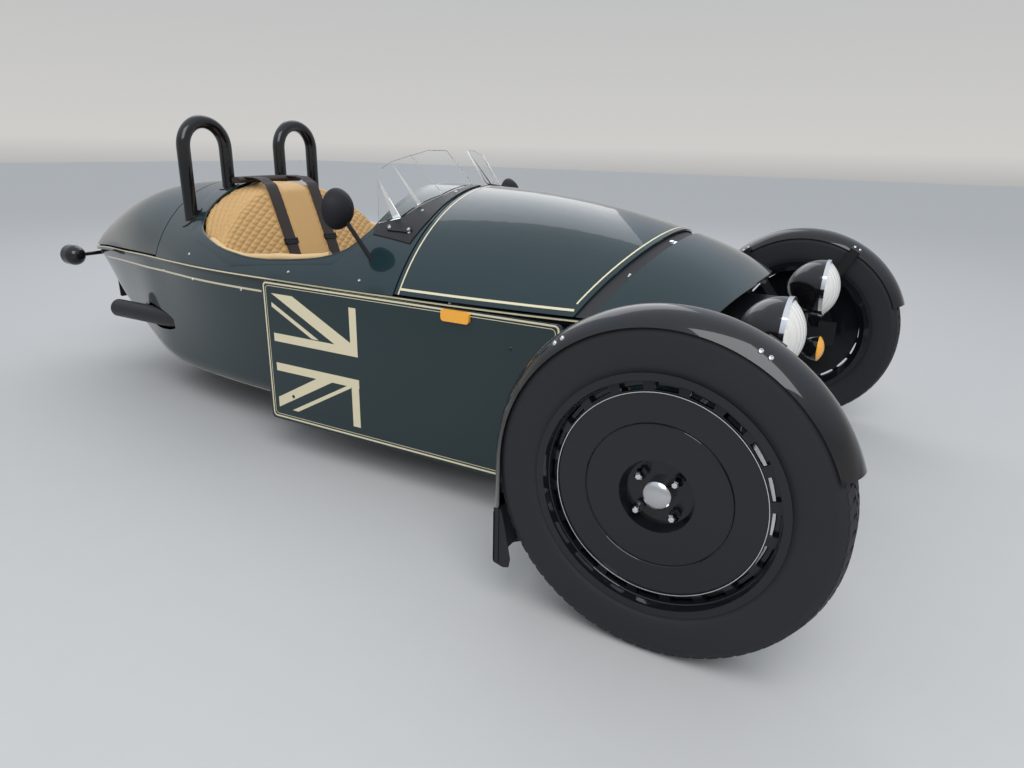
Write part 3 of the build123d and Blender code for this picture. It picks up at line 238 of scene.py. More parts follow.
def relief_group(kind: Surface) -> bpy.types.NodeTree:
    """Node group that gives the height of a surface pattern.

    Args:
        kind: The pattern.

    Returns:
        The group, with inputs Place and Scale and output Height.
    """
    name = f"relief_{kind.value}"
    if name in bpy.data.node_groups:
        return bpy.data.node_groups[name]
    tree, start, end = new_tree(name, "ShaderNodeTree", (("Place", "Vector"), ("Scale", "Float")),
                                (("Height", "Float"),))
    spot = {"Vector": start.outputs["Place"], "Scale": start.outputs["Scale"]}
    if kind is Surface.BRUSHED:
        stretch = add_node(tree, "ShaderNodeMapping",
                           {"Vector": spot["Vector"], "Scale": (1.0, 0.05, 1.0)})
        spot["Vector"] = stretch.outputs["Vector"]
    if kind in (Surface.WEAVE, Surface.CORE, Surface.FLUTES):
        waves = [add_node(tree, "ShaderNodeTexWave", spot, bands_direction=direction).outputs["Fac"]
                 for direction in ("X" if kind is Surface.FLUTES else "XZ")]
        height = waves[0]
        if len(waves) > 1:
            height = add_node(tree, MATH, dict(enumerate(waves)), operation="MAXIMUM").outputs[0]
    elif kind is Surface.LEATHER:
        height = add_node(tree, "ShaderNodeTexVoronoi", spot).outputs["Distance"]
    else:
        height = add_node(tree, "ShaderNodeTexNoise", {**spot, "Detail": 6.0}).outputs["Fac"]
    feed(tree, end, {"Height": height})
    return tree


class Finishes:
    """All finishes of the car."""

    PAINT = Finish("body_paint", "body_gloss", (0.0105, 0.027, 0.031), 0.25, coat=0.75,
                   coat_roughness=0.015, specular=0.12, surface=Surface.GRAIN, scale=900, relief=0.00001)
    BLACK = Finish("black_paint", "black_gloss", (0.006, 0.006, 0.007), 0.25, coat=0.9,
                   coat_roughness=0.02, specular=0.1, surface=Surface.GRAIN, scale=900, relief=0.00001)
    WHEEL = Finish("wheel_paint", "black_gloss", (0.006, 0.0065, 0.009), 0.3, coat=0.7,
                   coat_roughness=0.04, specular=0.15, surface=Surface.GRAIN, scale=700, relief=0.00001)
    SATIN = Finish("black_satin_coat", "black_satin", (0.012, 0.012, 0.014), 0.4, specular=0.4,
                   mottle=0.15, surface=Surface.GRAIN, scale=900, relief=0.00003)
    MATT = Finish("black_matt_shell", "black_satin", (0.013, 0.013, 0.016), 0.6, specular=0.3, mottle=0.1,
                  surface=Surface.GRAIN, scale=1200, relief=0.00004)
    PLASTIC = Finish("black_plastic", "dark_plastic", (0.018, 0.018, 0.02), 0.55, mottle=0.1,
                     surface=Surface.GRAIN, scale=1200, relief=0.00006)
    CREAM = Finish("cream_stripe", "tan_leather", (0.74, 0.66, 0.45), 0.4, coat=0.4, mottle=0.04)
    TYRE = Finish("tyre_rubber", "tyre", (0.019, 0.019, 0.022), 0.6, specular=0.35, mottle=0.2,
                  surface=Surface.GRAIN, scale=1500, relief=0.00012)
    CHROME = Finish("chrome_plate", "steel", (0.7, 0.71, 0.73), 0.08, 1.0, mottle=0.04)
    STEEL = Finish("brushed_metal", "steel", (0.42, 0.42, 0.43), 0.32, 1.0, mottle=0.1,
                   surface=Surface.BRUSHED, scale=1500, relief=0.00003)
    SILVER = Finish("silver_cap", "alloy", (0.55, 0.56, 0.58), 0.22, 1.0, mottle=0.06)
    ALLOY = Finish("plain_alloy", "alloy", (0.5, 0.5, 0.51), 0.45, 1.0, mottle=0.12,
                   surface=Surface.GRAIN, scale=500, relief=0.00005)
    CORE = Finish("radiator_core", "alloy", (0.10, 0.10, 0.11), 0.5, 0.8, surface=Surface.CORE, scale=90,
                  relief=0.0015, mottle=0.1)
    CAST = Finish("cast_block", "cast", (0.11, 0.11, 0.115), 0.7, 0.5, mottle=0.3, surface=Surface.GRAIN,
                  scale=250, relief=0.0004)
    LEATHER = Finish("tan_hide", "tan_leather", (0.60, 0.365, 0.145), 0.48, mottle=0.14,
                     surface=Surface.LEATHER, scale=520, relief=0.00022)
    PIPING = Finish("piping_hide", "tan_leather", (0.70, 0.48, 0.24), 0.45, mottle=0.1,
                    surface=Surface.LEATHER, scale=600, relief=0.00015)
    WEBBING = Finish("dark_webbing", "webbing", (0.035, 0.026, 0.024), 0.65, mottle=0.15,
                     surface=Surface.WEAVE, scale=160, relief=0.0003)
    SCREEN = Finish("clear_screen", "clear_glass", (0.95, 0.965, 0.96), 0.0, transmission=1.0, ior=1.3)
    EDGE = Finish("screen_edge", "clear_glass", (0.92, 0.93, 0.89), 0.35, transmission=0.1,
                  mottle=0.03)
    MIRROR = Finish("mirror_glass", "clear_glass", (0.8, 0.82, 0.84), 0.02, 1.0)
    # Near-white and only partly clear: the lens colour paints the lit reflector and the reflections seen
    # through the clear glass (painted reflection).
    LENS = Finish("fluted_lens", "clear_glass", (1.0, 0.985, 0.94), 0.12, transmission=0.3, ior=1.3,
                  surface=Surface.FLUTES, scale=22, relief=0.002)
    AMBER = Finish("amber_lens", "amber_glass", (1.0, 0.45, 0.04), 0.15, transmission=0.05, coat=0.6,
                   surface=Surface.FLUTES, scale=30, relief=0.001)
    RED = Finish("red_lens", "red_glass", (0.5, 0.008, 0.008), 0.12, transmission=0.3, coat=0.6,
                 surface=Surface.FLUTES, scale=30, relief=0.001)
    WHITE = Finish("plate_blank", "alloy", (0.75, 0.75, 0.72), 0.4, mottle=0.05)
    DIAL = Finish("dial_face", "dark_plastic", (0.6, 0.58, 0.52), 0.5, mottle=0.05)
    FLOOR = Finish("floor_tone", "alloy", (0.50, 0.495, 0.485), 0.6, specular=0.2, mottle=0.03)


NODES_BY_FINISH: dict[Finish, str] = {
    Finishes.PAINT: "tub nose_cowl bonnet cockpit_surround boot_lid side_plate_left side_plate_right",
    Finishes.BLACK: "belt_trim fender_left fender_right roll_hoops headlamps tail_lamps",
    Finishes.WHEEL: "front_rim_left front_rim_right rear_rim",
    Finishes.SATIN: ("front_frame wishbones knuckle_left knuckle_right swing_arm exhaust screen_bases "
                     "plate_holder"),
    Finishes.STEEL: "rack rear_stand", Finishes.ALLOY: "firewall", Finishes.CAST: "engine_block",
    Finishes.CORE: "radiator", Finishes.PLASTIC: "dashboard steering_wheel lid_ledges boot_tray",
    Finishes.MATT: "mirrors", Finishes.LEATHER: "side_linings", Finishes.SCREEN: "windscreens",
    Finishes.LENS: "headlamp_lenses", Finishes.AMBER: "amber_lenses", Finishes.RED: "tail_lenses",
}


# Meshes


@dataclass
class Shape:
    """Points and faces of a mesh that is being put together."""

    points: list[Vector] = field(default_factory=list)
    faces: list[tuple[int, ...]] = field(default_factory=list)

    def add(self, points: Iterable[Vector], faces: Iterable[Sequence[int]]) -> "Shape":
        """Append points and faces, the faces numbered within the new points.

        Args:
            points: New points.
            faces: New faces.

        Returns:
            This shape.
        """
        base = len(self.points)
        self.points.extend(Vector(p) for p in points)
        self.faces.extend(tuple(base + i for i in face) for face in faces)
        return self

    def box(self, low: Point, high: Point, place: Matrix | None = None) -> "Shape":
        """Append a box between two corners, moved by a matrix.

        Args:
            low: Lowest corner.
            high: Highest corner.
            place: Matrix that moves it, if any.

        Returns:
            This shape.
        """
        corners = [Vector(corner) for corner in product(*zip(low, high))]
        if place:
            corners = [place @ c for c in corners]
        return self.add(corners, ((0, 1, 3, 2), (4, 6, 7, 5), (0, 4, 5, 1), (2, 3, 7, 6),
                                  (0, 2, 6, 4), (1, 5, 7, 3)))

    def prism(self, outline: Sequence[Vector], push: Vector) -> "Shape":
        """Append a straight prism: an outline and the same outline pushed along a vector.

        Args:
            outline: Points of the outline, in order.
            push: From the first end face to the other.

        Returns:
            This shape.
        """
        n = len(outline)
        sides = [(i, (i + 1) % n, n + (i + 1) % n, n + i) for i in range(n)]
        return self.add([*outline, *(p + push for p in outline)],
                        [tuple(range(n))[::-1], tuple(range(n, 2 * n)), *sides])

    def lathe(self, profile: Sequence[tuple[float, float]], origin: Vector, axis: Vector, steps: int,
              closed: bool = False) -> "Shape":
        """Append a turned form.

        Args:
            profile: Distances along the axis and from it.
            origin: Point on the axis that distances start from.
            axis: Direction of the axis.
            steps: Number of steps round the axis.
            closed: Whether the profile closes on itself away from the axis.

        Returns:
            This shape.
        """
        axis = axis.normalized()
        across = axis.orthogonal().normalized()
        other = axis.cross(across)
        points = [origin + axis * along + (across * math.cos(t) + other * math.sin(t)) * out
                  for t in np.linspace(0, math.tau, steps, endpoint=False) for along, out in profile]
        n = len(profile)
        spans = range(n if closed else n - 1)
        faces = []
        for here, there in ((s * n, (s + 1) % steps * n) for s in range(steps)):
            faces += [(here + i, here + (i + 1) % n, there + (i + 1) % n, there + i) for i in spans]
        return self.add(points, faces)

    def sweep(self, path: Sequence[Vector], section: Sequence[tuple[float, float]],
              ups: Sequence[Vector] | None = None, loop: bool = False) -> "Shape":
        """Append a section carried along a path.

        Args:
            path: Points of the path.
            section: Points of the closed section: sideways and up.
            ups: Up direction at each point of the path.
            loop: Whether the path closes on itself.

        Returns:
            This shape.
        """
        n, m, rings = len(path), len(section), []
        for i, point in enumerate(path):
            before = path[i - 1] if loop or i else path[0]
            after = path[(i + 1) % n] if loop or i < n - 1 else path[-1]
            along = (after - before).normalized()
            up = (ups[i] if ups else Vector((0, 0, 1)))
            side = along.cross(up).normalized()
            up = side.cross(along).normalized()
            rings.extend(point + side * a + up * b for a, b in section)
        last = n if loop else n - 1
        faces = [(i * m + j, i * m + (j + 1) % m, ((i + 1) % n) * m + (j + 1) % m, ((i + 1) % n) * m + j)
                 for i in range(last) for j in range(m)]
        if not loop:
            faces += [tuple(range(m))[::-1], tuple(range((n - 1) * m, n * m))]
        return self.add(rings, faces)


def slab(top: Sequence[Sequence[Vector]], drop: float) -> Shape:
    """Closed sheet under a grid of points.

    Args:
        top: Rows of points of the upper face, all of one length.
        drop: How far the lower face lies below the upper one.

    Returns:
        The sheet.
    """
    n, m = len(top), len(top[0])
    upper = [p for row in top for p in row]
    lower = [p - Vector((0, 0, drop)) for p in upper]
    edge = [*((0, j) for j in range(m)), *((i, m - 1) for i in range(1, n)),
            *((n - 1, j) for j in range(m - 2, -1, -1)), *((i, 0) for i in range(n - 2, 0, -1))]
    rim = [i * m + j for i, j in edge]
    faces = []
    for i in range(n - 1):
        for j in range(m - 1):
            quad = (i * m + j, i * m + j + 1, (i + 1) * m + j + 1, (i + 1) * m + j)
            faces += [quad, tuple(n * m + k for k in reversed(quad))]
    faces += [(a, n * m + a, n * m + b, b) for a, b in zip(rim, rim[1:] + rim[:1])]
    return Shape().add([*upper, *lower], faces)


def circle_section(radius: float, sides: int = 12) -> list[tuple[float, float]]:
    """Points of a round section."""
    turns = np.linspace(0, math.tau, sides, endpoint=False)
    return [(radius * math.cos(t), radius * math.sin(t)) for t in turns]


def flat_section(width: float, thick: float) -> list[tuple[float, float]]:
    """Points of a flat strip's section lying on its path."""
    return [(-width / 2, 0), (width / 2, 0), (width / 2, thick), (-width / 2, thick)]


def smooth_path(points: Sequence[Vector], count: int, loop: bool = False) -> list[Vector]:
    """Points along a smooth curve through a few given ones.

    Args:
        points: Points to pass through.
        count: Number of points to return.
        loop: Whether the curve closes on itself.

    Returns:
        Evenly numbered points of a Catmull-Rom curve.
    """
    n, out = len(points), []
    spans = n if loop else n - 1
    for k in range(count):
        t = k / count * spans if loop else k / (count - 1) * spans
        i = min(int(t), spans - 1)
        f = t - i
        pick = (lambda j: points[j % n]) if loop else (lambda j: points[min(max(j, 0), n - 1)])
        a, b, c, d = (pick(i + j) for j in (-1, 0, 1, 2))
        bend, twist = 2 * a - 5 * b + 4 * c - d, 3 * b - a - 3 * c + d
        out.append(0.5 * (2 * b + (c - a) * f + bend * f * f + twist * f ** 3))
    return out


def new_object(name: str, points: Iterable[Vector],
               faces: Iterable[Sequence[int]] = ()) -> bpy.types.Object:
    """Link a new mesh object to the scene.

    Args:
        name: Name of the object and its mesh.
        points: Points of the mesh.
        faces: Faces of the mesh.

    Returns:
        The object.
    """
    mesh = bpy.data.meshes.new(name)
    mesh.from_pydata([tuple(p) for p in points], [], list(faces))
    obj = bpy.data.objects.new(name, mesh)
    bpy.context.scene.collection.objects.link(obj)
    return obj


def weld_mesh(mesh: bpy.types.Mesh, distance: float) -> None:
    """Merge close points of a mesh and turn its faces outwards.

    Args:
        mesh: The mesh.
        distance: Distance under which points are merged.
    """
    work = bmesh.new()
    work.from_mesh(mesh)
    bmesh.ops.remove_doubles(work, verts=work.verts, dist=distance)
    bmesh.ops.recalc_face_normals(work, faces=work.faces)
    work.to_mesh(mesh)
    work.free()


def mount(obj: bpy.types.Object, finish: Finish, body: str, smooth: bool = True,
          weld: float = 1e-6) -> bpy.types.Object:
    """Clean an object's mesh, dress it and let it ride on a body.

    Args:
        obj: The object.
        finish: Its finish.
        body: The body that carries it.
        smooth: Whether its faces are shaded smooth below a sharp angle.
        weld: Distance under which points are merged.

    Returns:
        The object.
    """
    mesh = obj.data
    weld_mesh(mesh, weld)
    if smooth:
        mesh.shade_smooth()
        mesh.set_sharp_from_angle(angle=SHARP_EDGE)
    mesh.materials.clear()
    mesh.materials.append(finish.material())
    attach(obj, body)
    LOG.info("%s: %d faces on %s", obj.name, len(mesh.polygons), body)
    return obj


def piece(name: str, shape: Shape, finish: Finish, body: str, smooth: bool = True,
          weld: float = 1e-6) -> bpy.types.Object:
    """Make an object of a shape, dress it and let it ride on a body.

    Args:
        name: Name of the piece.
        shape: Its mesh.
        finish: Its finish.
        body: The body that carries it.
        smooth: Whether its faces are shaded smooth below a sharp angle.
        weld: Distance under which points are merged.

    Returns:
        The object.
    """
    return mount(new_object(name, shape.points, shape.faces), finish, body, smooth, weld)


class Skin:
    """A CAD node's surface, used to lay thin pieces on it."""

    def __init__(self, *nodes: bpy.types.Object) -> None:
        """Read the meshes of one or more nodes.

        Args:
            nodes: The CAD nodes.
        """
        points: list[Vector] = []
        faces: list[tuple[int, ...]] = []
        for node in nodes:
            base = len(points)
            points += [v.co.copy() for v in node.data.vertices]
            faces += [tuple(base + i for i in p.vertices) for p in node.data.polygons]
        self.tree = BVHTree.FromPolygons(points, faces)

    def cast(self, origin: Vector, direction: Vector) -> Ray | None:
        """First point that a ray meets and the outward normal there.

        Args:
            origin: Where the ray starts.
            direction: Where it goes.

        Returns:
            The point and the normal, or None where the ray meets nothing.
        """
        point, normal, _, _ = self.tree.ray_cast(origin, direction.normalized())
        if point is None:
            return None
        return point, (normal if normal.dot(direction) < 0 else -normal)

    def lay(self, rays: Iterable[Ray], lift: float = 0.0002) -> tuple[list[Vector], list[Vector]]:
        """Points a little above the surface and the normals there, one for each ray that meets it."""
        hits = self.hits(rays)
        return [p + n * lift for p, n in hits], [n for _, n in hits]

    def hits(self, rays: Iterable[Ray]) -> list[Ray]:
        """Points and normals of the rays that meet the surface."""
        return [hit for hit in (self.cast(*ray) for ray in rays) if hit]


# Repeats made by geometry nodes


def finish_tree(tree: bpy.types.NodeTree, start: bpy.types.Node, end: bpy.types.Node,
                instances: bpy.types.NodeSocket) -> bpy.types.NodeTree:
    """End a tree with real geometry and its finish.

    Args:
        tree: The tree.
        start: Its input node, which has a Finish.
        end: Its output node.
        instances: The repeated geometry.

    Returns:
        The tree.
    """
    real = add_node(tree, "GeometryNodeRealizeInstances", {"Geometry": instances})
    dress = add_node(tree, "GeometryNodeSetMaterial",
                     {"Geometry": real.outputs["Geometry"], "Material": start.outputs["Finish"]})
    feed(tree, end, {"Geometry": dress.outputs["Geometry"]})
    return tree


def ring_tree() -> bpy.types.NodeTree:
    """Tree that repeats its geometry round an axis along X through Centre.

    Returns:
        The tree, built on first use.
    """
    if "ring_of_parts" in bpy.data.node_groups:
        return bpy.data.node_groups["ring_of_parts"]
    tree, start, end = new_tree(
        "ring_of_parts", "GeometryNodeTree",
        (("Geometry", "Geometry"), ("Count", "Int"), ("Start", "Float"), ("Centre", "Vector"),
         ("Finish", "Material")), (("Geometry", "Geometry"),))
    line = add_node(tree, "GeometryNodeMeshLine",
                    {"Count": start.outputs["Count"], "Offset": (0.0, 0.0, 0.0)})
    index = add_node(tree, "GeometryNodeInputIndex")
    step = add_node(tree, MATH, {0: math.tau, 1: start.outputs["Count"]}, operation="DIVIDE")
    turn = add_node(tree, MATH, {0: index.outputs[0], 1: step.outputs[0]}, operation="MULTIPLY")
    angle = add_node(tree, MATH, {0: turn.outputs[0], 1: start.outputs["Start"]}, operation="ADD")
    euler = add_node(tree, "ShaderNodeCombineXYZ", {"X": angle.outputs[0]})
    copies = add_node(tree, "GeometryNodeInstanceOnPoints", {
        "Points": line.outputs["Mesh"], "Instance": start.outputs["Geometry"],
        "Rotation": euler.outputs[0]})
    place = add_node(tree, "GeometryNodeTransform", {
        "Geometry": copies.outputs["Instances"], "Translation": start.outputs["Centre"]})
    return finish_tree(tree, start, end, place.outputs["Geometry"])


def points_tree() -> bpy.types.NodeTree:
    """Tree that puts a part on every point of its geometry, its Z axis along the point's facing.

    Returns:
        The tree, built on first use.
    """
    if "parts_on_points" in bpy.data.node_groups:
        return bpy.data.node_groups["parts_on_points"]
    tree, start, end = new_tree(
        "parts_on_points", "GeometryNodeTree",
        (("Geometry", "Geometry"), ("Part", "Object"), ("Size", "Float"), ("Finish", "Material")),
        (("Geometry", "Geometry"),))
    part = add_node(tree, "GeometryNodeObjectInfo", {"Object": start.outputs["Part"]})
    facing = add_node(tree, "GeometryNodeInputNamedAttribute", {"Name": "facing"},
                      data_type="FLOAT_VECTOR")
    turn = add_node(tree, "FunctionNodeAlignRotationToVector",
                    {"Vector": facing.outputs["Attribute"]}, axis="Z")
    copies = add_node(tree, "GeometryNodeInstanceOnPoints", {
        "Points": start.outputs["Geometry"], "Instance": part.outputs["Geometry"],
        "Rotation": turn.outputs[0], "Scale": start.outputs["Size"]})
    return finish_tree(tree, start, end, copies.outputs["Instances"])


def bake(obj: bpy.types.Object) -> None:
    """Keep what an object's modifiers make as its plain mesh.

    Args:
        obj: The object.
    """
    graph = bpy.context.evaluated_depsgraph_get()
    graph.update()
    made = bpy.data.meshes.new_from_object(obj.evaluated_get(graph))
    obj.modifiers.clear()
    old, obj.data = obj.data, made
    made.name = obj.name
    bpy.data.meshes.remove(old)


def run_tree(obj: bpy.types.Object, tree: bpy.types.NodeTree, values: dict[str, object]) -> None:
    """Run a geometry tree on an object with values for its inputs by name, and keep the result.

    Args:
        obj: The object.
        tree: The tree.
        values: Values of its inputs by name.
    """
    modifier = obj.modifiers.new("repeat", "NODES")
    modifier.node_group = tree
    for item in tree.interface.items_tree:
        if item.in_out == "INPUT" and item.name in values:
            modifier[item.identifier] = values[item.name]
    bake(obj)


def ring(name: str, part: Shape, finish: Finish, body: str, centre: Vector, count: int,
         start: float = 0.0) -> bpy.types.Object:
    """Make a ring of one part round an axis along X.

    Args:
        name: Name of the piece.
        part: The part, placed as if the centre were the origin.
        finish: Its finish.
        body: The body that carries the ring.
        centre: Centre of the ring.
        count: Number of parts.
        start: Angle of the first part.

    Returns:
        The object.
    """
    obj = new_object(name, part.points, part.faces)
    run_tree(obj, ring_tree(), {"Count": count, "Start": start, "Centre": tuple(centre),
                                "Finish": finish.material()})
    return mount(obj, finish, body)


def scatter(name: str, part: Shape, places: Sequence[Ray], finish: Finish,
            body: str, size: float = 1.0) -> bpy.types.Object:
    """Put one part at several points.

    Args:
        name: Name of the piece.
        part: The part, standing on the origin along Z.
        places: Points and the directions that the part faces there.
        finish: Its finish.
        body: The body that carries them.
        size: Scale of the part.

    Returns:
        The object.
    """
    pattern = new_object(f"{name}_part", part.points, part.faces)
    obj = new_object(name, [p for p, _ in places])
    facing = obj.data.attributes.new("facing", "FLOAT_VECTOR", "POINT")
    facing.data.foreach_set("vector", [c for _, n in places for c in n.normalized()])
    run_tree(obj, points_tree(), {"Part": pattern, "Size": size, "Finish": finish.material()})
    bpy.data.objects.remove(pattern)
    return mount(obj, finish, body)


def screw_head(radius: float, height: float) -> Shape:
    """Low domed head standing on the origin along Z, with a round recess in its top.

    Args:
        radius: Radius of the head.
        height: Height of its rim.

    Returns:
        The head.
    """
    profile = [(-height * 0.2, 0), (-height * 0.2, radius), (height * 0.35, radius),
               (height * 0.8, radius * 0.8), (height, radius * 0.45),
               (height * 0.55, radius * 0.42), (height * 0.55, 0)]
    return Shape().lathe(profile, Vector((0, 0, 0)), -DOWN, 18)


# Sub-assemblies


@dataclass
class Tyre:
    """A tyre with its tread blocks."""

    node: str
    body: str
    centre: Vector
    tread_r: float
    half: float
    tread_half: float
    rim_r: float
    bead_half: float
    flange_r: float
    rows: Sequence[tuple[float, float]]
    count: int
    groove: float = 0.005
    steps: int = 144

    def profile(self) -> list[tuple[float, float]]:
        """Closed section: distances along the axle and from it.

        Returns:
            Points of the section.
        """
        height, base = self.tread_r - self.rim_r, self.tread_r - self.groove
        shoulder = self.tread_half + (self.half - self.tread_half) * 0.55
        flank = [(self.tread_half, base), (shoulder, base - height * 0.05),
                 (self.half * 0.975, base - height * 0.17)]
        flank += [(self.half * wide, self.rim_r + height * high)
                  for wide, high in ((0.995, 0.66), (1.0, 0.52), (0.992, 0.36), (0.955, 0.22))]
        flank.append((self.bead_half + 0.002, self.flange_r + 0.006))
        bead = [(self.bead_half, self.flange_r + 0.002), (self.bead_half, self.rim_r)]
        rings = [(p.x, p.y) for p in smooth_path([Vector((a, r, 0)) for a, r in flank], 26)] + bead
        low, high = self.rim_r + height * 0.50, self.rim_r + height * 0.56
        rings = [(min(a + (0.0012 if low < r < high else 0.0), self.half), r) for a, r in rings]
        tread = [(-self.tread_half / 2, base), (self.tread_half / 2, base)]
        return [(-a, r) for a, r in reversed(rings)] + tread + rings

    def blocks(self) -> Shape:
        """One pitch of the tread: a block in every row, its ends raked and its shoulder dropped.

        Returns:
            The blocks, placed as if the wheel stood on the origin.
        """
        shape, pitch = Shape(), math.tau / self.count
        top, foot = self.tread_r - 0.0003, self.tread_r - self.groove - 0.004
        faces = [(0, 2, 3, 1), (2, 4, 5, 3), (6, 7, 9, 8), (8, 9, 11, 10), (1, 3, 9, 7), (3, 5, 11, 9),
                 (0, 6, 8, 2), (2, 8, 10, 4), (0, 1, 7, 6), (4, 10, 11, 5)]
        for index, (low, high) in enumerate(self.rows):
            lean = pitch * 0.18 * (1 if index % 2 else -1)
            start = lean - pitch * 0.40
            end = start + pitch * 0.72
            corners = []
            for a in (low, high):
                skew = lean * (1 if a == high else -1)
                past = max(0.0, (abs(a) - self.tread_half * 0.7) / (self.tread_half * 0.45))
                drop = 0.0052 * past ** 2
                for t in (start + skew, (start + end) / 2 + skew, end + skew):
                    corners += [Vector((a, -r * math.sin(t), r * math.cos(t)))
                                for r in (foot - drop, top - drop)]
            shape.add(corners, faces)
        return shape

    def build(self) -> None:
        """Make the tyre and its tread and hide the plain one."""
        carcass = Shape().lathe(self.profile(), self.centre, Vector((1, 0, 0)), self.steps, closed=True)
        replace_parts(piece(f"{self.node}_rubber", carcass, Finishes.TYRE, self.body), self.node)
        ring(f"{self.node}_tread", self.blocks(), Finishes.TYRE, self.body, self.centre, self.count)


@dataclass
class FrontWheel:
    """Tyre, nuts, cap and ring lines of a front wheel; the bright ring lines are painted highlights."""

    side: int
    name: str
    radius: float = 0.370
    hub_face: float = 0.014
    nut_circle: float = 0.054
    nut_count: int = 4
    rows: Sequence[tuple[float, float]] = ((-0.051, -0.027), (-0.023, -0.009), (-0.006, 0.006),
                                           (0.009, 0.023), (0.027, 0.051))

    def build(self) -> None:
        """Make the tyre, the nuts, the cap, the beads of the disc and the chrome rings that paint
        highlights on the bead crest and the rim flange.
        """
        body, centre = f"wheel_{self.name}", at(self.side * WHEEL_X, 0.0, self.radius)
        out = Vector((self.side, 0, 0))
        Tyre(f"front_tyre_{self.name}", body, centre, self.radius, 0.060, 0.040, 0.2543, 0.0517, 0.266,
             self.rows, 72).build()
        seat = out * (self.hub_face + 0.008)
        ray = Vector((0, math.cos(math.pi / 4), math.sin(math.pi / 4))) * self.nut_circle
        nut = Shape().lathe([(0, 0), (0, 0.012), (0.010, 0.012), (0.014, 0.0105), (0.022, 0.0100),
                             (0.027, 0.006), (0.028, 0)], seat + ray, out, 6)
        ring(f"lug_nuts_{self.name}", nut, Finishes.CHROME, body, centre, self.nut_count)
        cap = Shape().lathe([(0.0, 0.031), (0.022, 0.031), (0.026, 0.028), (0.030, 0.018), (0.0315, 0)],
                            centre + out * self.hub_face, out, 48)
        piece(f"hub_cap_{self.name}", cap, Finishes.SILVER, body)
        bead, highlight_rings = Shape(), Shape()
        for u, r, rise in ((0.038, 0.2225, 0.0015), (0.0405, 0.157, 0.0013)):
            bead.lathe([(u, r - 0.001), (u + rise, r), (u, r + 0.001)], centre, out, 96, closed=True)
        piece(f"disc_beads_{self.name}", bead, Finishes.WHEEL, body)
        # Thin chrome rings on the crest of the disc bead and on the rim flange: painted highlights of the
        # glossy black wheel.
        for u, r in ((0.0398, 0.2225), (0.0528, 0.2648)):
            low, high, inner, outer = u - 0.0008, u + 0.0004, r - 0.0007, r + 0.0007
            wire = [(low, inner), (high, inner), (high, outer), (low, outer)]
            highlight_rings.lathe(wire, centre, out, 120, closed=True)
        piece(f"rim_lines_{self.name}", highlight_rings, Finishes.CHROME, body)


@dataclass
class RearWheel:
    """The driven wheel's tyre."""

    station: float = 2.39
    radius: float = 0.318
    rows: Sequence[tuple[float, float]] = ((-0.087, -0.052), (-0.045, -0.020), (-0.013, 0.013),
                                           (0.020, 0.045), (0.052, 0.087))

    def build(self) -> None:
        """Make the tyre."""
        centre = at(0, self.station, self.radius)
        Tyre("rear_tyre", "rear_wheel", centre, self.radius, 0.097, 0.078, 0.1903,
             0.0877, 0.202, self.rows, 64, 0.007).build()


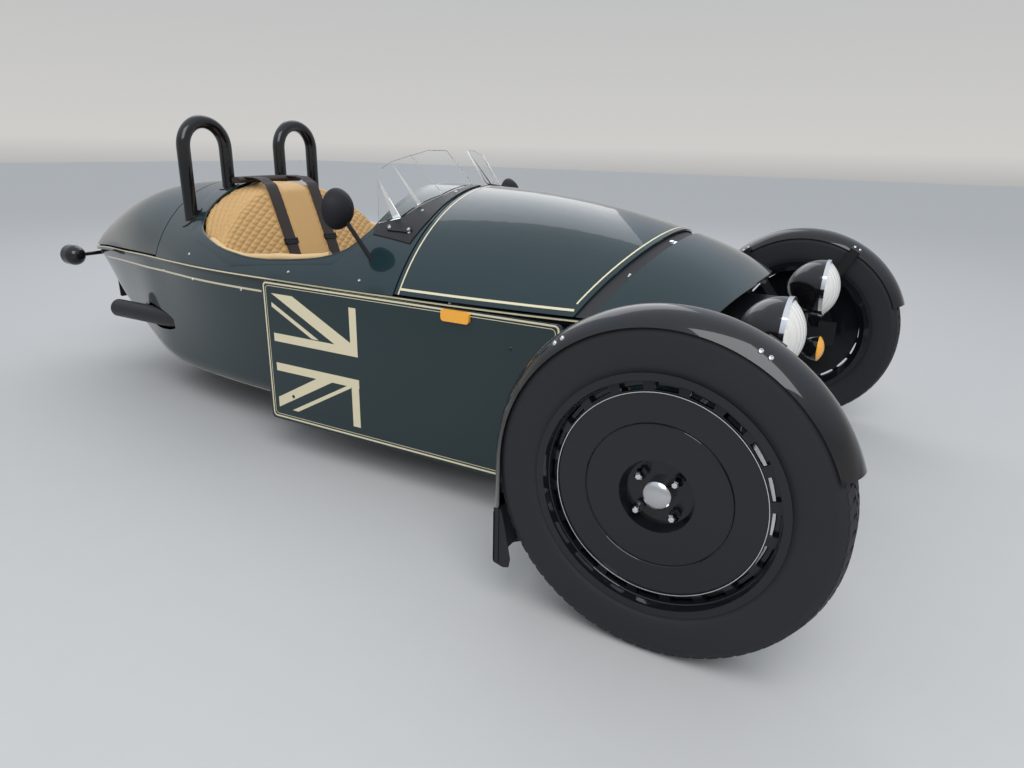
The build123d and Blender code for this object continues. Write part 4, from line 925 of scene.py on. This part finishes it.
@dataclass
class Stripes:
    """Cream pinstripes on the body and the flag stripes on the side plates."""

    nodes: dict[str, bpy.types.Object]
    thick: float = 0.0003
    plate_x: float = 0.563
    clear: float = 0.9
    belt: Sequence[tuple[float, float, float]] = (
        (0.35, 0.481, 0.6065), (0.6, 0.520, 0.609), (0.96, 0.540, 0.611), (1.5, 0.530, 0.609),
        (2.05, 0.465, 0.603), (2.25, 0.412, 0.597), (2.5, 0.345, 0.588), (2.75, 0.262, 0.574),
        (2.95, 0.192, 0.559), (3.1, 0.135, 0.542))

    def belt_at(self, station: float) -> tuple[float, float]:
        """Half width and height of the belt at a station."""
        stations, halves, heights = zip(*self.belt)
        return float(np.interp(station, stations, halves)), float(np.interp(station, stations, heights))

    def strip(self, name: str, skin: Skin, rays: Iterable[Ray], body: str,
              width: float = 0.0045) -> None:
        """Lay one pinstripe along the points that rays find on a surface.

        Args:
            name: Name of the piece.
            skin: The surface.
            rays: Origins and directions of the rays.
            body: The body that carries the stripe.
            width: Width of the stripe.
        """
        path, ups = skin.lay(rays)
        if len(path) > 2:
            shape = Shape().sweep(path, flat_section(width, self.thick), ups)
            piece(name, shape, Finishes.CREAM, body, smooth=False)

    def belt_lines(self) -> None:
        """Lines above and below the dark strip, and one along the bottom of the tub."""
        trim, tub = Skin(self.nodes["belt_trim"]), Skin(self.nodes["tub"])
        for side, name in SIDES:
            inward = Vector((-side, 0, 0))
            for label, skin, drop, end, width in (("top", trim, 0.0026, 3.10, 0.0048),
                                                  ("under", tub, 0.052, 2.98, 0.0075)):
                rays = [(at(side * self.clear, s, self.belt_at(s)[1] - drop), inward)
                        for s in np.linspace(0.36, end, 150)]
                self.strip(f"belt_line_{label}_{name}", skin, rays, "chassis", width)
            rays = [(at(side * self.clear, s, 0.150 + max(0.0, s - 2.2) * 0.30), inward)
                    for s in np.linspace(0.30, 2.5, 120)]
            self.strip(f"floor_line_{name}", tub, rays, "chassis")

    def bonnet_lines(self) -> None:
        """Border line of the bonnet: along its front, its sides and its rear."""
        skin = Skin(self.nodes["bonnet"])
        front = [(at(0.985 * math.sin(a), 1.265 - 0.985 * math.cos(a), 1.2), DOWN)
                 for a in np.linspace(-0.487, 0.487, 120)]
        self.strip("bonnet_line_front", skin, front, "bonnet")
        rear = [(at(1.2 * math.sin(a), 0.940, 0.27 + 1.2 * math.cos(a)),
                 Vector((-math.sin(a), 0, -math.cos(a)))) for a in np.linspace(-1.03, 1.03, 120)]
        self.strip("bonnet_line_rear", skin, rear, "bonnet")
        for side, name in SIDES:
            rays = [(at(side * self.clear, s, self.belt_at(s)[1] + 0.021), Vector((-side, 0, 0)))
                    for s in np.linspace(0.395, 0.940, 60)]
            self.strip(f"bonnet_line_{name}", skin, rays, "bonnet", 0.0075)

    def plate_marks(self) -> None:
        """Border and flag stripes of each side plate."""
        bars = (
            ((1446, 568), (1352, 568), (1085, 434), (1085, 410), (1131, 410)),
            ((1448, 538), (1448, 523), (1276, 437), (1246, 437)),
            ((1448, 406), (1448, 434), (1085, 434), (1085, 406)),
            ((1113, 408), (1113, 562), (1085, 562), (1085, 408)),
            ((1448, 303), (1448, 331), (1085, 331), (1085, 303)),
            ((1117, 169), (1117, 329), (1087, 329), (1087, 169)),
            ((1451, 170), (1451, 206), (1240, 318), (1171, 318)),
            ((1389, 169), (1125, 309), (1117, 300), (1362, 169)),
        )
        for side, name in SIDES:
            marks = Shape()
            for level, bar in enumerate(bars):
                lift = 0.0001 + 0.00003 * level
                outline = [at(side * (self.plate_x + lift), s / 1000, z / 1000) for s, z in bar]
                marks.prism(outline, Vector((side * self.thick, 0, 0)))
            piece(f"flag_stripes_{name}", marks, Finishes.CREAM, "chassis", smooth=False, weld=1e-7)
            edges = Shape()
            for inset, width in ((0.005, 0.0055), (0.014, 0.0018)):
                self.border(edges, side, inset, width)
            piece(f"plate_border_{name}", edges, Finishes.CREAM, "chassis", smooth=False)

    def border(self, edges: Shape, side: int, inset: float, width: float) -> None:
        """Add one closed line inside the edge of a side plate.

        Args:
            edges: The shape that it is added to.
            side: 1 on the left and -1 on the right.
            inset: Distance of its middle from the plate's edge.
            width: Width of the line.
        """
        front, rear, foot, top = 0.391 + inset, 1.484 - inset, 0.131 + inset, 0.606 - inset
        radius, path = 0.012, []
        for s, z, start in ((rear - radius, top - radius, 0), (front + radius, top - radius, 90),
                            (front + radius, foot + radius, 180), (rear - radius, foot + radius, 270)):
            for t in (math.radians(start + step) for step in (0, 30, 60, 90)):
                path.append(at(side * (self.plate_x + 0.0001), s + radius * math.cos(t),
                               z + radius * math.sin(t)))
        edges.sweep(path, flat_section(width, self.thick), [Vector((side, 0, 0))] * len(path), loop=True)

    def build(self) -> None:
        """Lay every stripe."""
        self.belt_lines()
        self.bonnet_lines()
        self.plate_marks()


@dataclass
class Cockpit:
    """Smooth painted edge of the cockpit opening."""

    nodes: dict[str, bpy.types.Object]
    middle: float = 1.60
    overlap: float = 0.012
    lift: float = 0.0008
    hole: Sequence[tuple[float, float]] = ((0.0, 2.140), (0.200, 2.140), (0.400, 2.040), (0.498, 1.700),
                                           (0.488, 1.240), (0.395, 1.140), (0.0, 1.140))
    edge: Sequence[tuple[float, float]] = (
        (0.0, 2.062), (0.150, 2.059), (0.285, 2.040), (0.352, 2.012), (0.395, 1.968), (0.430, 1.895),
        (0.464, 1.785), (0.485, 1.660), (0.4915, 1.530), (0.489, 1.400), (0.480, 1.290), (0.458, 1.212),
        (0.415, 1.168), (0.350, 1.148), (0.180, 1.143), (0.0, 1.143))
    sections: Sequence[tuple[float, float, float, float]] = (
        (0.96, 0.540, 0.611, 0.910), (1.5, 0.530, 0.609, 0.905), (2.05, 0.465, 0.603, 0.885),
        (2.25, 0.412, 0.597, 0.878))

    def deck(self, x: float, station: float) -> float:
        """Height of the crowned deck, also over the opening.

        Args:
            x: Distance to the left.
            station: The station.

        Returns:
            The height.
        """
        stations, halves, belts, crowns = zip(*self.sections)
        half, belt, crown = (float(np.interp(station, stations, row)) for row in (halves, belts, crowns))
        rise = crown - belt
        radius = (half * half + rise * rise) / (2 * rise)
        return crown - radius + math.sqrt(max(radius * radius - x * x, 0.0))

    def half_at(self, station: float) -> float:
        """Half width of the smooth opening at a station."""
        rows = sorted((s, x) for x, s in self.edge if x > 0.3)
        return float(np.interp(station, [s for s, _ in rows], [x for _, x in rows]))

    def curve(self, count: int) -> list[tuple[float, float]]:
        """Points of the whole smooth edge: distance to the left and station.

        Args:
            count: Number of points.

        Returns:
            The points.
        """
        half = [Vector((x, s, 0)) for x, s in self.edge]
        ring = half + [Vector((-p.x, p.y, 0)) for p in reversed(half[1:-1])]
        return [(p.x, p.y) for p in smooth_path(ring, count, loop=True)]

    def reach(self, x: float, station: float) -> tuple[float, float]:
        """Point a little outside the plain opening on the ray from its middle through a point.

        Args:
            x: Distance of the point to the left.
            station: Station of the point.

        Returns:
            Distance to the left and station of the outer point.
        """
        dx, ds = abs(x), station - self.middle
        far = 1.0
        for (x0, s0), (x1, s1) in zip(self.hole, self.hole[1:]):
            ex, es = x1 - x0, s1 - s0
            cross = dx * es - ds * ex
            if abs(cross) > 1e-9:
                along = (x0 * es - (s0 - self.middle) * ex) / cross
                share = (x0 * ds - (s0 - self.middle) * dx) / cross
                if along > 0 and -1e-6 <= share <= 1 + 1e-6:
                    far = along
        length = math.hypot(dx, ds)
        far = max(far, 1.0) + self.overlap / length
        return x * far, self.middle + ds * far

    def build(self) -> None:
        """Lay the painted edge over the plain opening and roll its rim."""
        skin = Skin(self.nodes["cockpit_surround"])
        rows, rim = [], []
        for x, station in self.curve(240):
            end_x, end_s = self.reach(x, station)
            hit = skin.cast(at(end_x, end_s, 1.3), DOWN)
            shift = hit[0].z - self.deck(end_x, end_s) if hit else 0.0
            row = []
            for share in (0.0, 0.2, 0.4, 0.6, 0.8, 1.0):
                px, ps = x + (end_x - x) * share, station + (end_s - station) * share
                lift = self.lift if share < 0.9 else -self.lift / 2
                row.append(at(px, ps, self.deck(px, ps) + shift + lift))
            rows.append(row)
            rim.append(row[0] - Vector((0, 0, 0.0038)))
        piece("opening_edge", slab(rows + rows[:1], 0.0025), Finishes.PAINT, "chassis")
        wire = Shape().sweep(rim, circle_section(0.0042, 10), loop=True)
        piece("opening_rim", wire, Finishes.PAINT, "chassis")


@dataclass
class Bench:
    """Quilted seat back and cushion, the harness straps and the padded edge rolls."""

    nodes: dict[str, bpy.types.Object]
    cockpit: Cockpit
    diamond: tuple[float, float] = (0.052, 0.031)
    crown_r: float = 0.551
    seam: float = 0.145
    seam_depth: float = 0.0045
    panel_half: float = 0.070
    strap_x: float = 0.110
    strap_half: float = 0.028
    profile: Sequence[tuple[float, float]] = (
        (1.690, 0.312), (1.735, 0.415), (1.7855, 0.572), (1.840, 0.714), (1.8955, 0.855), (1.925, 0.882),
        (1.960, 0.896), (2.03, 0.897))

    def inflate(self, obj: bpy.types.Object, cap: float, frames: int = 20) -> None:
        """Puff a padded piece with air pressure, held by its lowest points.

        Args:
            obj: The remeshed pad.
            cap: Most that a point may move.
            frames: Steps of the simulation.
        """
        scene = bpy.context.scene
        start = np.array([v.co for v in obj.data.vertices])
        held = obj.vertex_groups.new(name="held")
        low = start[:, 2].min() + 0.02
        held.add([i for i, p in enumerate(start) if p[2] < low], 1.0, "REPLACE")
        cloth = obj.modifiers.new("pad", "CLOTH")
        cloth.settings.use_pressure = True
        cloth.settings.uniform_pressure_force = 4.0
        cloth.settings.effector_weights.gravity = 0.0
        cloth.settings.vertex_group_mass = "held"
        cloth.point_cache.frame_start, cloth.point_cache.frame_end = 1, frames
        for frame in range(1, frames + 1):
            scene.frame_set(frame)
        after = obj.evaluated_get(bpy.context.evaluated_depsgraph_get()).to_mesh()
        moved = np.array([v.co for v in after.vertices]) - start
        obj.modifiers.clear()
        length = np.linalg.norm(moved, axis=1, keepdims=True)
        moved *= np.minimum(1.0, cap / np.maximum(length, 1e-9))
        obj.data.vertices.foreach_set("co", (start + moved).astype(np.float32).ravel())
        obj.data.update()
        scene.frame_set(1)

    def pad(self, node: str, voxel: float, cap: float, height: Callable[[Vector, Vector], float],
            extra: Shape | None = None, fill: float = 0.8) -> None:
        """Make a padded piece from a plain node.

        Args:
            node: The node that it stands for.
            voxel: Size of the remesh.
            cap: Most that the padding may swell.
            height: Height of the sewn relief at a point with a normal.
            extra: Padding that is sewn to it.
            fill: How tight the filling is, from 0 to 1. Not used.
        """
        mesh = self.nodes[node].data
        plain = Shape().add([v.co for v in mesh.vertices], [tuple(p.vertices) for p in mesh.polygons])
        if extra:
            plain.add(extra.points, extra.faces)
        obj = new_object(f"{node}_pad", plain.points, plain.faces)
        weld_mesh(obj.data, 1e-5)
        remesh = obj.modifiers.new("even", "REMESH")
        remesh.mode, remesh.voxel_size = "VOXEL", voxel
        bake(obj)
        self.inflate(obj, cap)
        soften = obj.modifiers.new("soften", "SMOOTH")
        soften.factor, soften.iterations = 0.5, 4
        divide = obj.modifiers.new("divide", "SUBSURF")
        divide.levels = divide.render_levels = 1
        bake(obj)
        made = obj.data
        spots = [(v.co.copy(), v.normal.copy()) for v in made.vertices]
        for vertex, (point, normal) in zip(made.vertices, spots):
            vertex.co = point + normal * height(point, normal)
        made.shade_smooth()
        made.materials.clear()
        made.materials.append(Finishes.LEATHER.material())
        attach(obj, "chassis")
        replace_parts(obj, node)
        LOG.info("%s: %d faces on chassis", obj.name, len(made.polygons))

    def quilt(self, across: float, along: float) -> float:
        """Height of a diamond quilt: deepest on its crossing seams.

        Args:
            across: Distance from the middle of the bench.
            along: Distance along the pad.

        Returns:
            The height, zero or less.
        """
        wide, high = self.diamond
        gap = min(abs((across / wide + way * along / high + 0.5) % 1.0 - 0.5) for way in (1, -1))
        return -self.seam_depth * math.exp(-(gap / self.seam) ** 2)

    def back_fill(self) -> Shape:
        """Padding between the plain back and the edge of the opening.

        Returns:
            A closed sheet of padding.
        """
        stations, heights = zip(*self.profile)
        rows = []
        for station in np.linspace(1.74, 2.072, 16):
            half = self.cockpit.half_at(min(station, 2.02)) + 0.004
            if station > 2.02:
                half = float(np.interp(station, (2.02, 2.05, 2.072), (half, 0.30, 0.20)))
            top = float(np.interp(station, stations, heights))
            rows.append([at(x, station, min(top, self.cockpit.deck(x, station) - 0.006))
                         for x in np.linspace(-half, half, 31)])
        return slab(rows, 0.06)

    def back_height(self, point: Vector, normal: Vector) -> float:
        """Sewn relief of the back: quilted sides, a plain middle panel, flat under the straps.

        Args:
            point: Point of the pad.
            normal: Normal there, which the back has no use for.

        Returns:
            The height of the relief.
        """
        x = abs(point.x)
        if x < self.panel_half + 0.006:
            edge = math.exp(-((x - self.panel_half) / 0.003) ** 2)
            return 0.003 - 0.006 * edge
        if abs(x - self.strap_x) < self.strap_half + 0.004:
            return -0.003
        along = float(np.interp(point.y - FRONT_AXLE_Y, *self.lengths()))
        across = self.crown_r * math.asin(point.x / self.crown_r)
        return self.quilt(across, along)

    def lengths(self) -> tuple[list[float], list[float]]:
        """Stations of the back's profile and the distance along it to each.

        Returns:
            The stations and the distances.
        """
        stations, total = [self.profile[0][0]], [0.0]
        for (s0, z0), (s1, z1) in zip(self.profile, self.profile[1:]):
            stations.append(s1)
            total.append(total[-1] + math.hypot(s1 - s0, z1 - z0))
        return stations + [2.2], total + [total[-1] + 0.17]

    def cushion_height(self, point: Vector, normal: Vector) -> float:
        """Sewn relief of the cushion: quilt on top and a deep seam down the middle."""
        groove = -0.012 * math.exp(-(point.x / 0.008) ** 2)
        return groove + (self.quilt(point.x, point.y) if normal.z > 0.4 else 0.0)

    def straps(self) -> None:
        """Make the two shoulder straps, their buckles and the cover where they meet."""
        count, buckle = 60, 22
        line = smooth_path([at(0, s, z) for s, z in self.profile], count)
        bars = (((-0.033, -0.011, -0.001), (0.033, -0.005, 0.007)),
                ((-0.033, 0.005, -0.001), (0.033, 0.011, 0.007)),
                ((-0.033, -0.011, -0.001), (-0.027, 0.011, 0.007)),
                ((0.027, -0.011, -0.001), (0.033, 0.011, 0.007)),
                ((-0.027, -0.003, 0.0), (0.027, 0.003, 0.006)))
        webbing, buckles = Shape(), Shape()
        for side, _ in SIDES:
            path = [p + Vector((side * self.strap_x, -0.0045, 0.003)) for p in line]
            ups = []
            for i in range(count):
                along = path[min(i + 1, count - 1)] - path[max(i - 1, 0)]
                up = Vector((1, 0, 0)).cross(along.normalized()).normalized()
                ups.append(-up if up.z < 0 else up)
            webbing.sweep(path, flat_section(2 * self.strap_half, 0.0022), ups)
            along = (path[buckle + 1] - path[buckle - 1]).normalized()
            turn = Matrix((Vector((1, 0, 0)), along, ups[buckle])).transposed()
            for low, high in bars:
                buckles.box(low, high, Matrix.Translation(path[buckle]) @ turn.to_4x4())
        straps = piece("shoulder_straps", webbing, Finishes.WEBBING, "chassis", smooth=False)
        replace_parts(straps, "harness")
        piece("strap_buckles", buckles, Finishes.SATIN, "chassis", smooth=False)
        cover = [at(x, 2.036, 0.893 - 0.10 * x * x) for x in np.linspace(-0.165, 0.165, 12)]
        oval = [(1.6 * a, 0.8 * b) for a, b in circle_section(0.016, 14)]
        piece("strap_cover", Shape().sweep(cover, oval), Finishes.WEBBING, "chassis")

    def rolls(self, radius: float = 0.0125) -> None:
        """Make the padded rolls along both sides of the cockpit opening.

        Args:
            radius: Radius of a roll.
        """
        for side, name in SIDES:
            path = []
            for station in np.linspace(1.27, 1.89, 50):
                x = self.cockpit.half_at(station) - 0.013
                path.append(at(side * x, station, self.cockpit.deck(x, station) - 0.010))
            roll = piece(f"edge_roll_{name}", Shape().sweep(path, circle_section(radius, 14)),
                         Finishes.PIPING, "chassis")

    def build(self) -> None:
        """Make every soft piece of the bench."""
        self.pad("seat_back", 0.0091, 0.006, self.back_height, self.back_fill())
        self.pad("seat_cushion", 0.007, 0.012, self.cushion_height)
        self.straps()
        self.rolls()


@dataclass
class Fittings:
    """Screws, clips, reflectors, dials and other small pieces."""

    nodes: dict[str, bpy.types.Object]

    def screws(self) -> None:
        """Put the screws on the body panels and the plates."""
        deck = Skin(*(self.nodes[name] for name in ("cockpit_surround", "bonnet", "boot_lid", "tub")))
        base = Skin(self.nodes["screen_bases"])
        flank = [(1.975, 0.637), (1.407, 0.635), (1.10, 0.640)]
        flank += [(station, 0.548) for station in (0.45, 0.75, 1.05, 1.35, 1.65, 1.95, 2.2)]
        spots, corners = [], []
        for side, _ in SIDES:
            out = Vector((side, 0, 0))
            spots += deck.hits((at(side * 0.9, s, z), -out) for s, z in flank)
            spots += base.hits((at(side * x, s, 1.3), DOWN)
                               for x, s in ((0.378, 1.095), (0.392, 1.005), (0.30, 1.02), (0.16, 0.985)))
            corners += [(at(side * 0.563, s, z), out) for s in (0.54, 1.38) for z in (0.22, 0.52)]
        scatter("panel_screws", screw_head(0.0052, 0.0035), spots, Finishes.CHROME, "chassis")
        scatter("plate_screws", screw_head(0.006, 0.003), corners, Finishes.PAINT, "chassis")

    def fender_bolts(self) -> None:
        """Put the pairs of bolts on the fenders over their stays."""
        for side, name in SIDES:
            centre = at(side * WHEEL_X, 0, 0.37)
            rays = []
            for t in (math.radians(angle + spread) for angle in (62, 128) for spread in (-1.6, 1.6)):
                ray = Vector((0, -math.cos(t), math.sin(t)))
                rays += [(centre + Vector((side * u, 0, 0)) + ray * 0.6, -ray) for u in (-0.046, 0.046)]
            scatter(f"fender_bolts_{name}", screw_head(0.0055, 0.004),
                    Skin(self.nodes[f"fender_{name}"]).hits(rays), Finishes.CHROME, f"steer_{name}")

    def clips(self) -> None:
        """Make the four spring clips in the slot between nose and bonnet."""
        shape, middle, radius, belt = Shape(), 1.265, 1.019, 0.606
        for angle in (-0.33, -0.12, 0.12, 0.33):
            x, station = radius * math.sin(angle), middle - radius * math.cos(angle)
            half = float(np.interp(station, (0.15, 0.3, 0.6), (0.44, 0.475, 0.52)))
            crown = float(np.interp(station, (0.15, 0.3, 0.6), (0.773, 0.818, 0.879)))
            drop = (crown - belt) * (x / half) ** 2
            tilt = math.atan2(2 * (crown - belt) * x / half ** 2, 1)
            turn = Matrix.Rotation(-tilt, 4, "Y").inverted() @ Matrix.Rotation(angle, 4, "Z")
            place = Matrix.Translation(at(x, station, crown - drop - 0.008)) @ turn
            shape.box((-0.011, -0.016, -0.004), (0.011, 0.016, 0.002), place)
            shape.box((-0.007, -0.005, 0.002), (0.007, 0.005, 0.006), place)
        piece("bonnet_clips", shape, Finishes.CHROME, "chassis", smooth=False)

    def lamps(self) -> None:
        """Make the reflectors and bright rims of the headlamps."""
        mirrors, rims, depth, radius = Shape(), Shape(), 0.108, 0.083
        bowl = [(depth * (1 - (r / radius) ** 2) + 0.008, r)
                for r in (radius, 0.075, 0.062, 0.045, 0.025, 0.0)]
        bowl += [(bowl[-1][0] + 0.001, 0.0), (bowl[0][0] + 0.001, 0.0845)]
        rim = [(-0.004, 0.0885), (-0.004, 0.0955), (0.008, 0.0955), (0.008, 0.0932),
               (0.0, 0.0932), (0.0, 0.0885)]
        for side, _ in SIDES:
            centre = at(side * 0.365, -0.134, 0.614)
            mirrors.lathe(bowl, centre, REARWARD, 48)
            mirrors.lathe([(0.05, 0.0), (0.05, 0.012), (0.085, 0.014), (0.10, 0.0)], centre, REARWARD, 24)
            rims.lathe(rim, centre, REARWARD, 72, closed=True)
        piece("lamp_reflectors", mirrors, Finishes.CHROME, "chassis")
        piece("lamp_rims", rims, Finishes.CHROME, "chassis")

    def dials(self) -> None:
        """Put two plain dials on the dashboard."""
        faces, bezels, radius = Shape(), Shape(), 0.043
        face = [(0.0, 0.0), (0.0, radius), (0.004, radius), (0.004, 0.0)]
        rim = [(0.0, radius), (0.0, 0.050), (0.008, 0.048), (0.009, radius)]
        rays = ((at(x, 1.4, 0.765), -REARWARD) for x in (-0.06, 0.08))
        for spot, _ in Skin(self.nodes["dashboard"]).hits(rays):
            faces.lathe(face, spot, REARWARD, 48)
            bezels.lathe(rim, spot, REARWARD, 48, closed=True)
            bezels.box((-0.001, 0.0042, -0.002), (0.001, 0.0052, 0.032), Matrix.Translation(spot))
        piece("dial_faces", faces, Finishes.DIAL, "chassis")
        piece("dial_rims", bezels, Finishes.CHROME, "chassis")

    def plate(self) -> None:
        """Make the blank number plate and its two bolts."""
        middle = Matrix.Translation(at(0, 3.0503, 0.35))
        shape = Shape().box((-0.085, 0.0, -0.055), (0.085, 0.0015, 0.055), middle)
        piece("number_plate_blank", shape, Finishes.WHITE, "chassis", smooth=False)
        bolts = [(at(x, 3.0518, 0.35), REARWARD) for x in (-0.06, 0.06)]
        scatter("plate_bolts", screw_head(0.006, 0.003), bolts, Finishes.CHROME, "chassis")

    def screens(self) -> None:
        """Dress the windscreens: clear faces and pale cut edges."""
        mesh = self.nodes["windscreens"].data.copy()
        mesh.name = "screen_panes"
        weld_mesh(mesh, 1e-5)
        mesh.materials.clear()
        for finish in (Finishes.SCREEN, Finishes.EDGE):
            mesh.materials.append(finish.material())
        corners = [v.co for v in mesh.vertices]
        tree = BVHTree.FromPolygons(corners, [tuple(p.vertices) for p in mesh.polygons])
        for face in mesh.polygons:
            through = tree.ray_cast(face.center - face.normal * 0.0005, -face.normal, 0.0075)
            face.material_index = 0 if through[0] is not None else 1
        panes = bpy.data.objects.new("screen_panes", mesh)
        bpy.context.scene.collection.objects.link(panes)
        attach(panes, "chassis")
        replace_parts(panes, "windscreens")

    def mirror_glass(self) -> None:
        """Put the glasses into the rear of the mirrors."""
        glass = Shape()
        skin = Skin(self.nodes["mirrors"])
        for spot, _ in skin.hits((at(side * 0.520, 1.473, 0.850), -REARWARD) for side, _ in SIDES):
            glass.lathe([(0.0, 0.0), (0.0012, 0.054), (0.0, 0.0545)], spot, REARWARD, 48)
        piece("mirror_glasses", glass, Finishes.MIRROR, "chassis")

    def screen_slots(self) -> None:
        """Put an oblong boss with two screws on each screen's trim plate."""
        skin = Skin(self.nodes["screen_bases"])
        bosses, screws = Shape(), []
        for side, _ in SIDES:
            ends = skin.hits((at(side * 0.385, station, 1.3), DOWN) for station in (1.085, 1.010))
            if len(ends) < 2:
                continue
            (a, na), (b, nb) = ends
            up, along = (na + nb).normalized(), (b - a).normalized()
            across = up.cross(along).normalized()
            outline = [centre + (along * math.cos(t) + across * math.sin(t)) * 0.0115
                       for centre, start in ((b, -90), (a, 90))
                       for t in (math.radians(start + step) for step in range(0, 181, 30))]
            bosses.prism([p - up * 0.002 for p in outline], up * 0.006)
            screws += [(end + up * 0.004, up) for end in (a, b)]
        piece("screen_bosses", bosses, Finishes.SATIN, "chassis", smooth=False)
        if screws:
            scatter("screen_screws", screw_head(0.006, 0.004), screws, Finishes.CHROME, "chassis")

    def mudflaps(self, half: float = 0.0615, rear: float = 0.372) -> None:
        """Hang a rubber strip with two side wings behind the foot of each fender.

        Args:
            half: Half width of a strip.
            rear: Station of its rear face.
        """
        wing = [(0.371, 0.107), (0.345, 0.100), (0.330, 0.104), (0.326, 0.125), (0.340, 0.200),
                (0.352, 0.250), (0.371, 0.250)]
        for side, name in SIDES:
            middle = side * WHEEL_X
            shape = Shape().box((middle - half, FRONT_AXLE_Y + rear - 0.004, 0.112),
                                (middle + half, FRONT_AXLE_Y + rear, 0.24))
            for x in (-half, half - 0.003):
                shape.prism([at(middle + x, station, z) for station, z in wing], Vector((0.003, 0, 0)))
            piece(f"mudflap_{name}", shape, Finishes.TYRE, f"steer_{name}", smooth=False)

    def build(self) -> None:
        """Make every small piece."""
        self.screws()
        self.fender_bolts()
        self.clips()
        self.lamps()
        self.dials()
        self.plate()
        self.screens()
        self.mirror_glass()
        self.screen_slots()
        self.mudflaps()


@dataclass
class Studio:
    """Floor, soft light and the camera."""

    place: Point = (-2.1883, -1.8005, 1.0429)
    yaw: float = 60.716
    pitch: float = 18.48
    roll: float = 1.21
    lens: float = 25.07
    sky: Sequence[tuple[float, Point]] = (
        (0.0, (0.30, 0.30, 0.30)), (0.48, (0.42, 0.42, 0.42)), (0.50, (0.62, 0.61, 0.59)),
        (0.62, (0.50, 0.51, 0.52)), (0.85, (0.80, 0.88, 1.0)), (1.0, (0.9, 0.95, 1.0)))
    lamps: Mapping[str, tuple[Point, float, float]] = field(default_factory=lambda: {
        "key": ((-3.5, -3.0, 5.0), 4.0, 190.0), "fill": ((4.0, 2.5, 4.5), 5.0, 90.0)})

    def floor(self) -> None:
        """Lay the pale floor."""
        shape = Shape().box((-30, -30, -0.02), (30, 30, 0.0))
        obj = new_object("floor", shape.points, shape.faces)
        obj.data.materials.append(Finishes.FLOOR.material())

    def light(self) -> None:
        """Set the world and two large soft lamps."""
        world = bpy.data.worlds.new("studio")
        bpy.context.scene.world = world
        world.use_nodes = True
        tree = world.node_tree
        ways = add_node(tree, "ShaderNodeTexCoord").outputs["Generated"]
        height = add_node(tree, "ShaderNodeSeparateXYZ", {0: ways}).outputs["Z"]
        share = add_node(tree, "ShaderNodeMapRange", {"Value": height, "From Min": -1.0})
        tone = add_node(tree, "ShaderNodeValToRGB", {"Fac": share.outputs["Result"]})
        while len(tone.color_ramp.elements) < len(self.sky):
            tone.color_ramp.elements.new(0.5)
        for element, (spot, colour) in zip(tone.color_ramp.elements, self.sky):
            element.position, element.color = spot, (*colour, 1.0)
        feed(tree, tree.nodes["Background"], {"Color": tone.outputs["Color"]})
        for name, (place, size, power) in self.lamps.items():
            lamp = bpy.data.lights.new(name, "AREA")
            lamp.size, lamp.energy = size, power
            obj = bpy.data.objects.new(name, lamp)
            obj.location = place
            obj.rotation_mode = "QUATERNION"
            obj.rotation_quaternion = (-Vector(place)).to_track_quat("-Z", "Y")
            bpy.context.scene.collection.objects.link(obj)

    def camera(self) -> None:
        """Place the camera at the photograph's point of view."""
        yaw, pitch, roll = (math.radians(a) for a in (self.yaw, self.pitch, self.roll))
        level = Vector((math.sin(yaw), math.cos(yaw), 0))
        ahead = level * math.cos(pitch) + DOWN * math.sin(pitch)
        right = Vector((level.y, -level.x, 0))
        up = right.cross(ahead)
        x_axis = right * math.cos(roll) + up * math.sin(roll)
        y_axis = up * math.cos(roll) - right * math.sin(roll)
        data = bpy.data.cameras.new("view")
        data.lens, data.sensor_width = self.lens, 36.0
        data.clip_end = 200.0
        obj = bpy.data.objects.new("view", data)
        turn = Matrix((x_axis, y_axis, -ahead)).transposed()
        obj.matrix_world = Matrix.Translation(Vector(self.place)) @ turn.to_4x4()
        bpy.context.scene.collection.objects.link(obj)
        bpy.context.scene.camera = obj

    def build(self) -> None:
        """Make the studio."""
        self.floor()
        self.light()
        self.camera()
        bpy.context.scene.view_settings.view_transform = "Standard"


def dress_nodes(nodes: dict[str, bpy.types.Object]) -> None:
    """Give every shown CAD node its finish.

    Args:
        nodes: CAD nodes by name.
    """
    for finish, names in NODES_BY_FINISH.items():
        for name in names.split():
            materials = nodes[name].data.materials
            materials.clear()
            materials.append(finish.material())


def main() -> None:
    """Build the whole picture."""
    logging.basicConfig(level=logging.INFO, format="%(message)s")
    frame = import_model()
    nodes = frame["nodes"]
    dress_nodes(nodes)
    for side, name in SIDES:
        FrontWheel(side, name).build()
    RearWheel().build()
    Stripes(nodes).build()
    cockpit = Cockpit(nodes)
    cockpit.build()
    Bench(nodes, cockpit).build()
    Fittings(nodes).build()
    Studio().build()


if __name__ == "__main__":
    main()
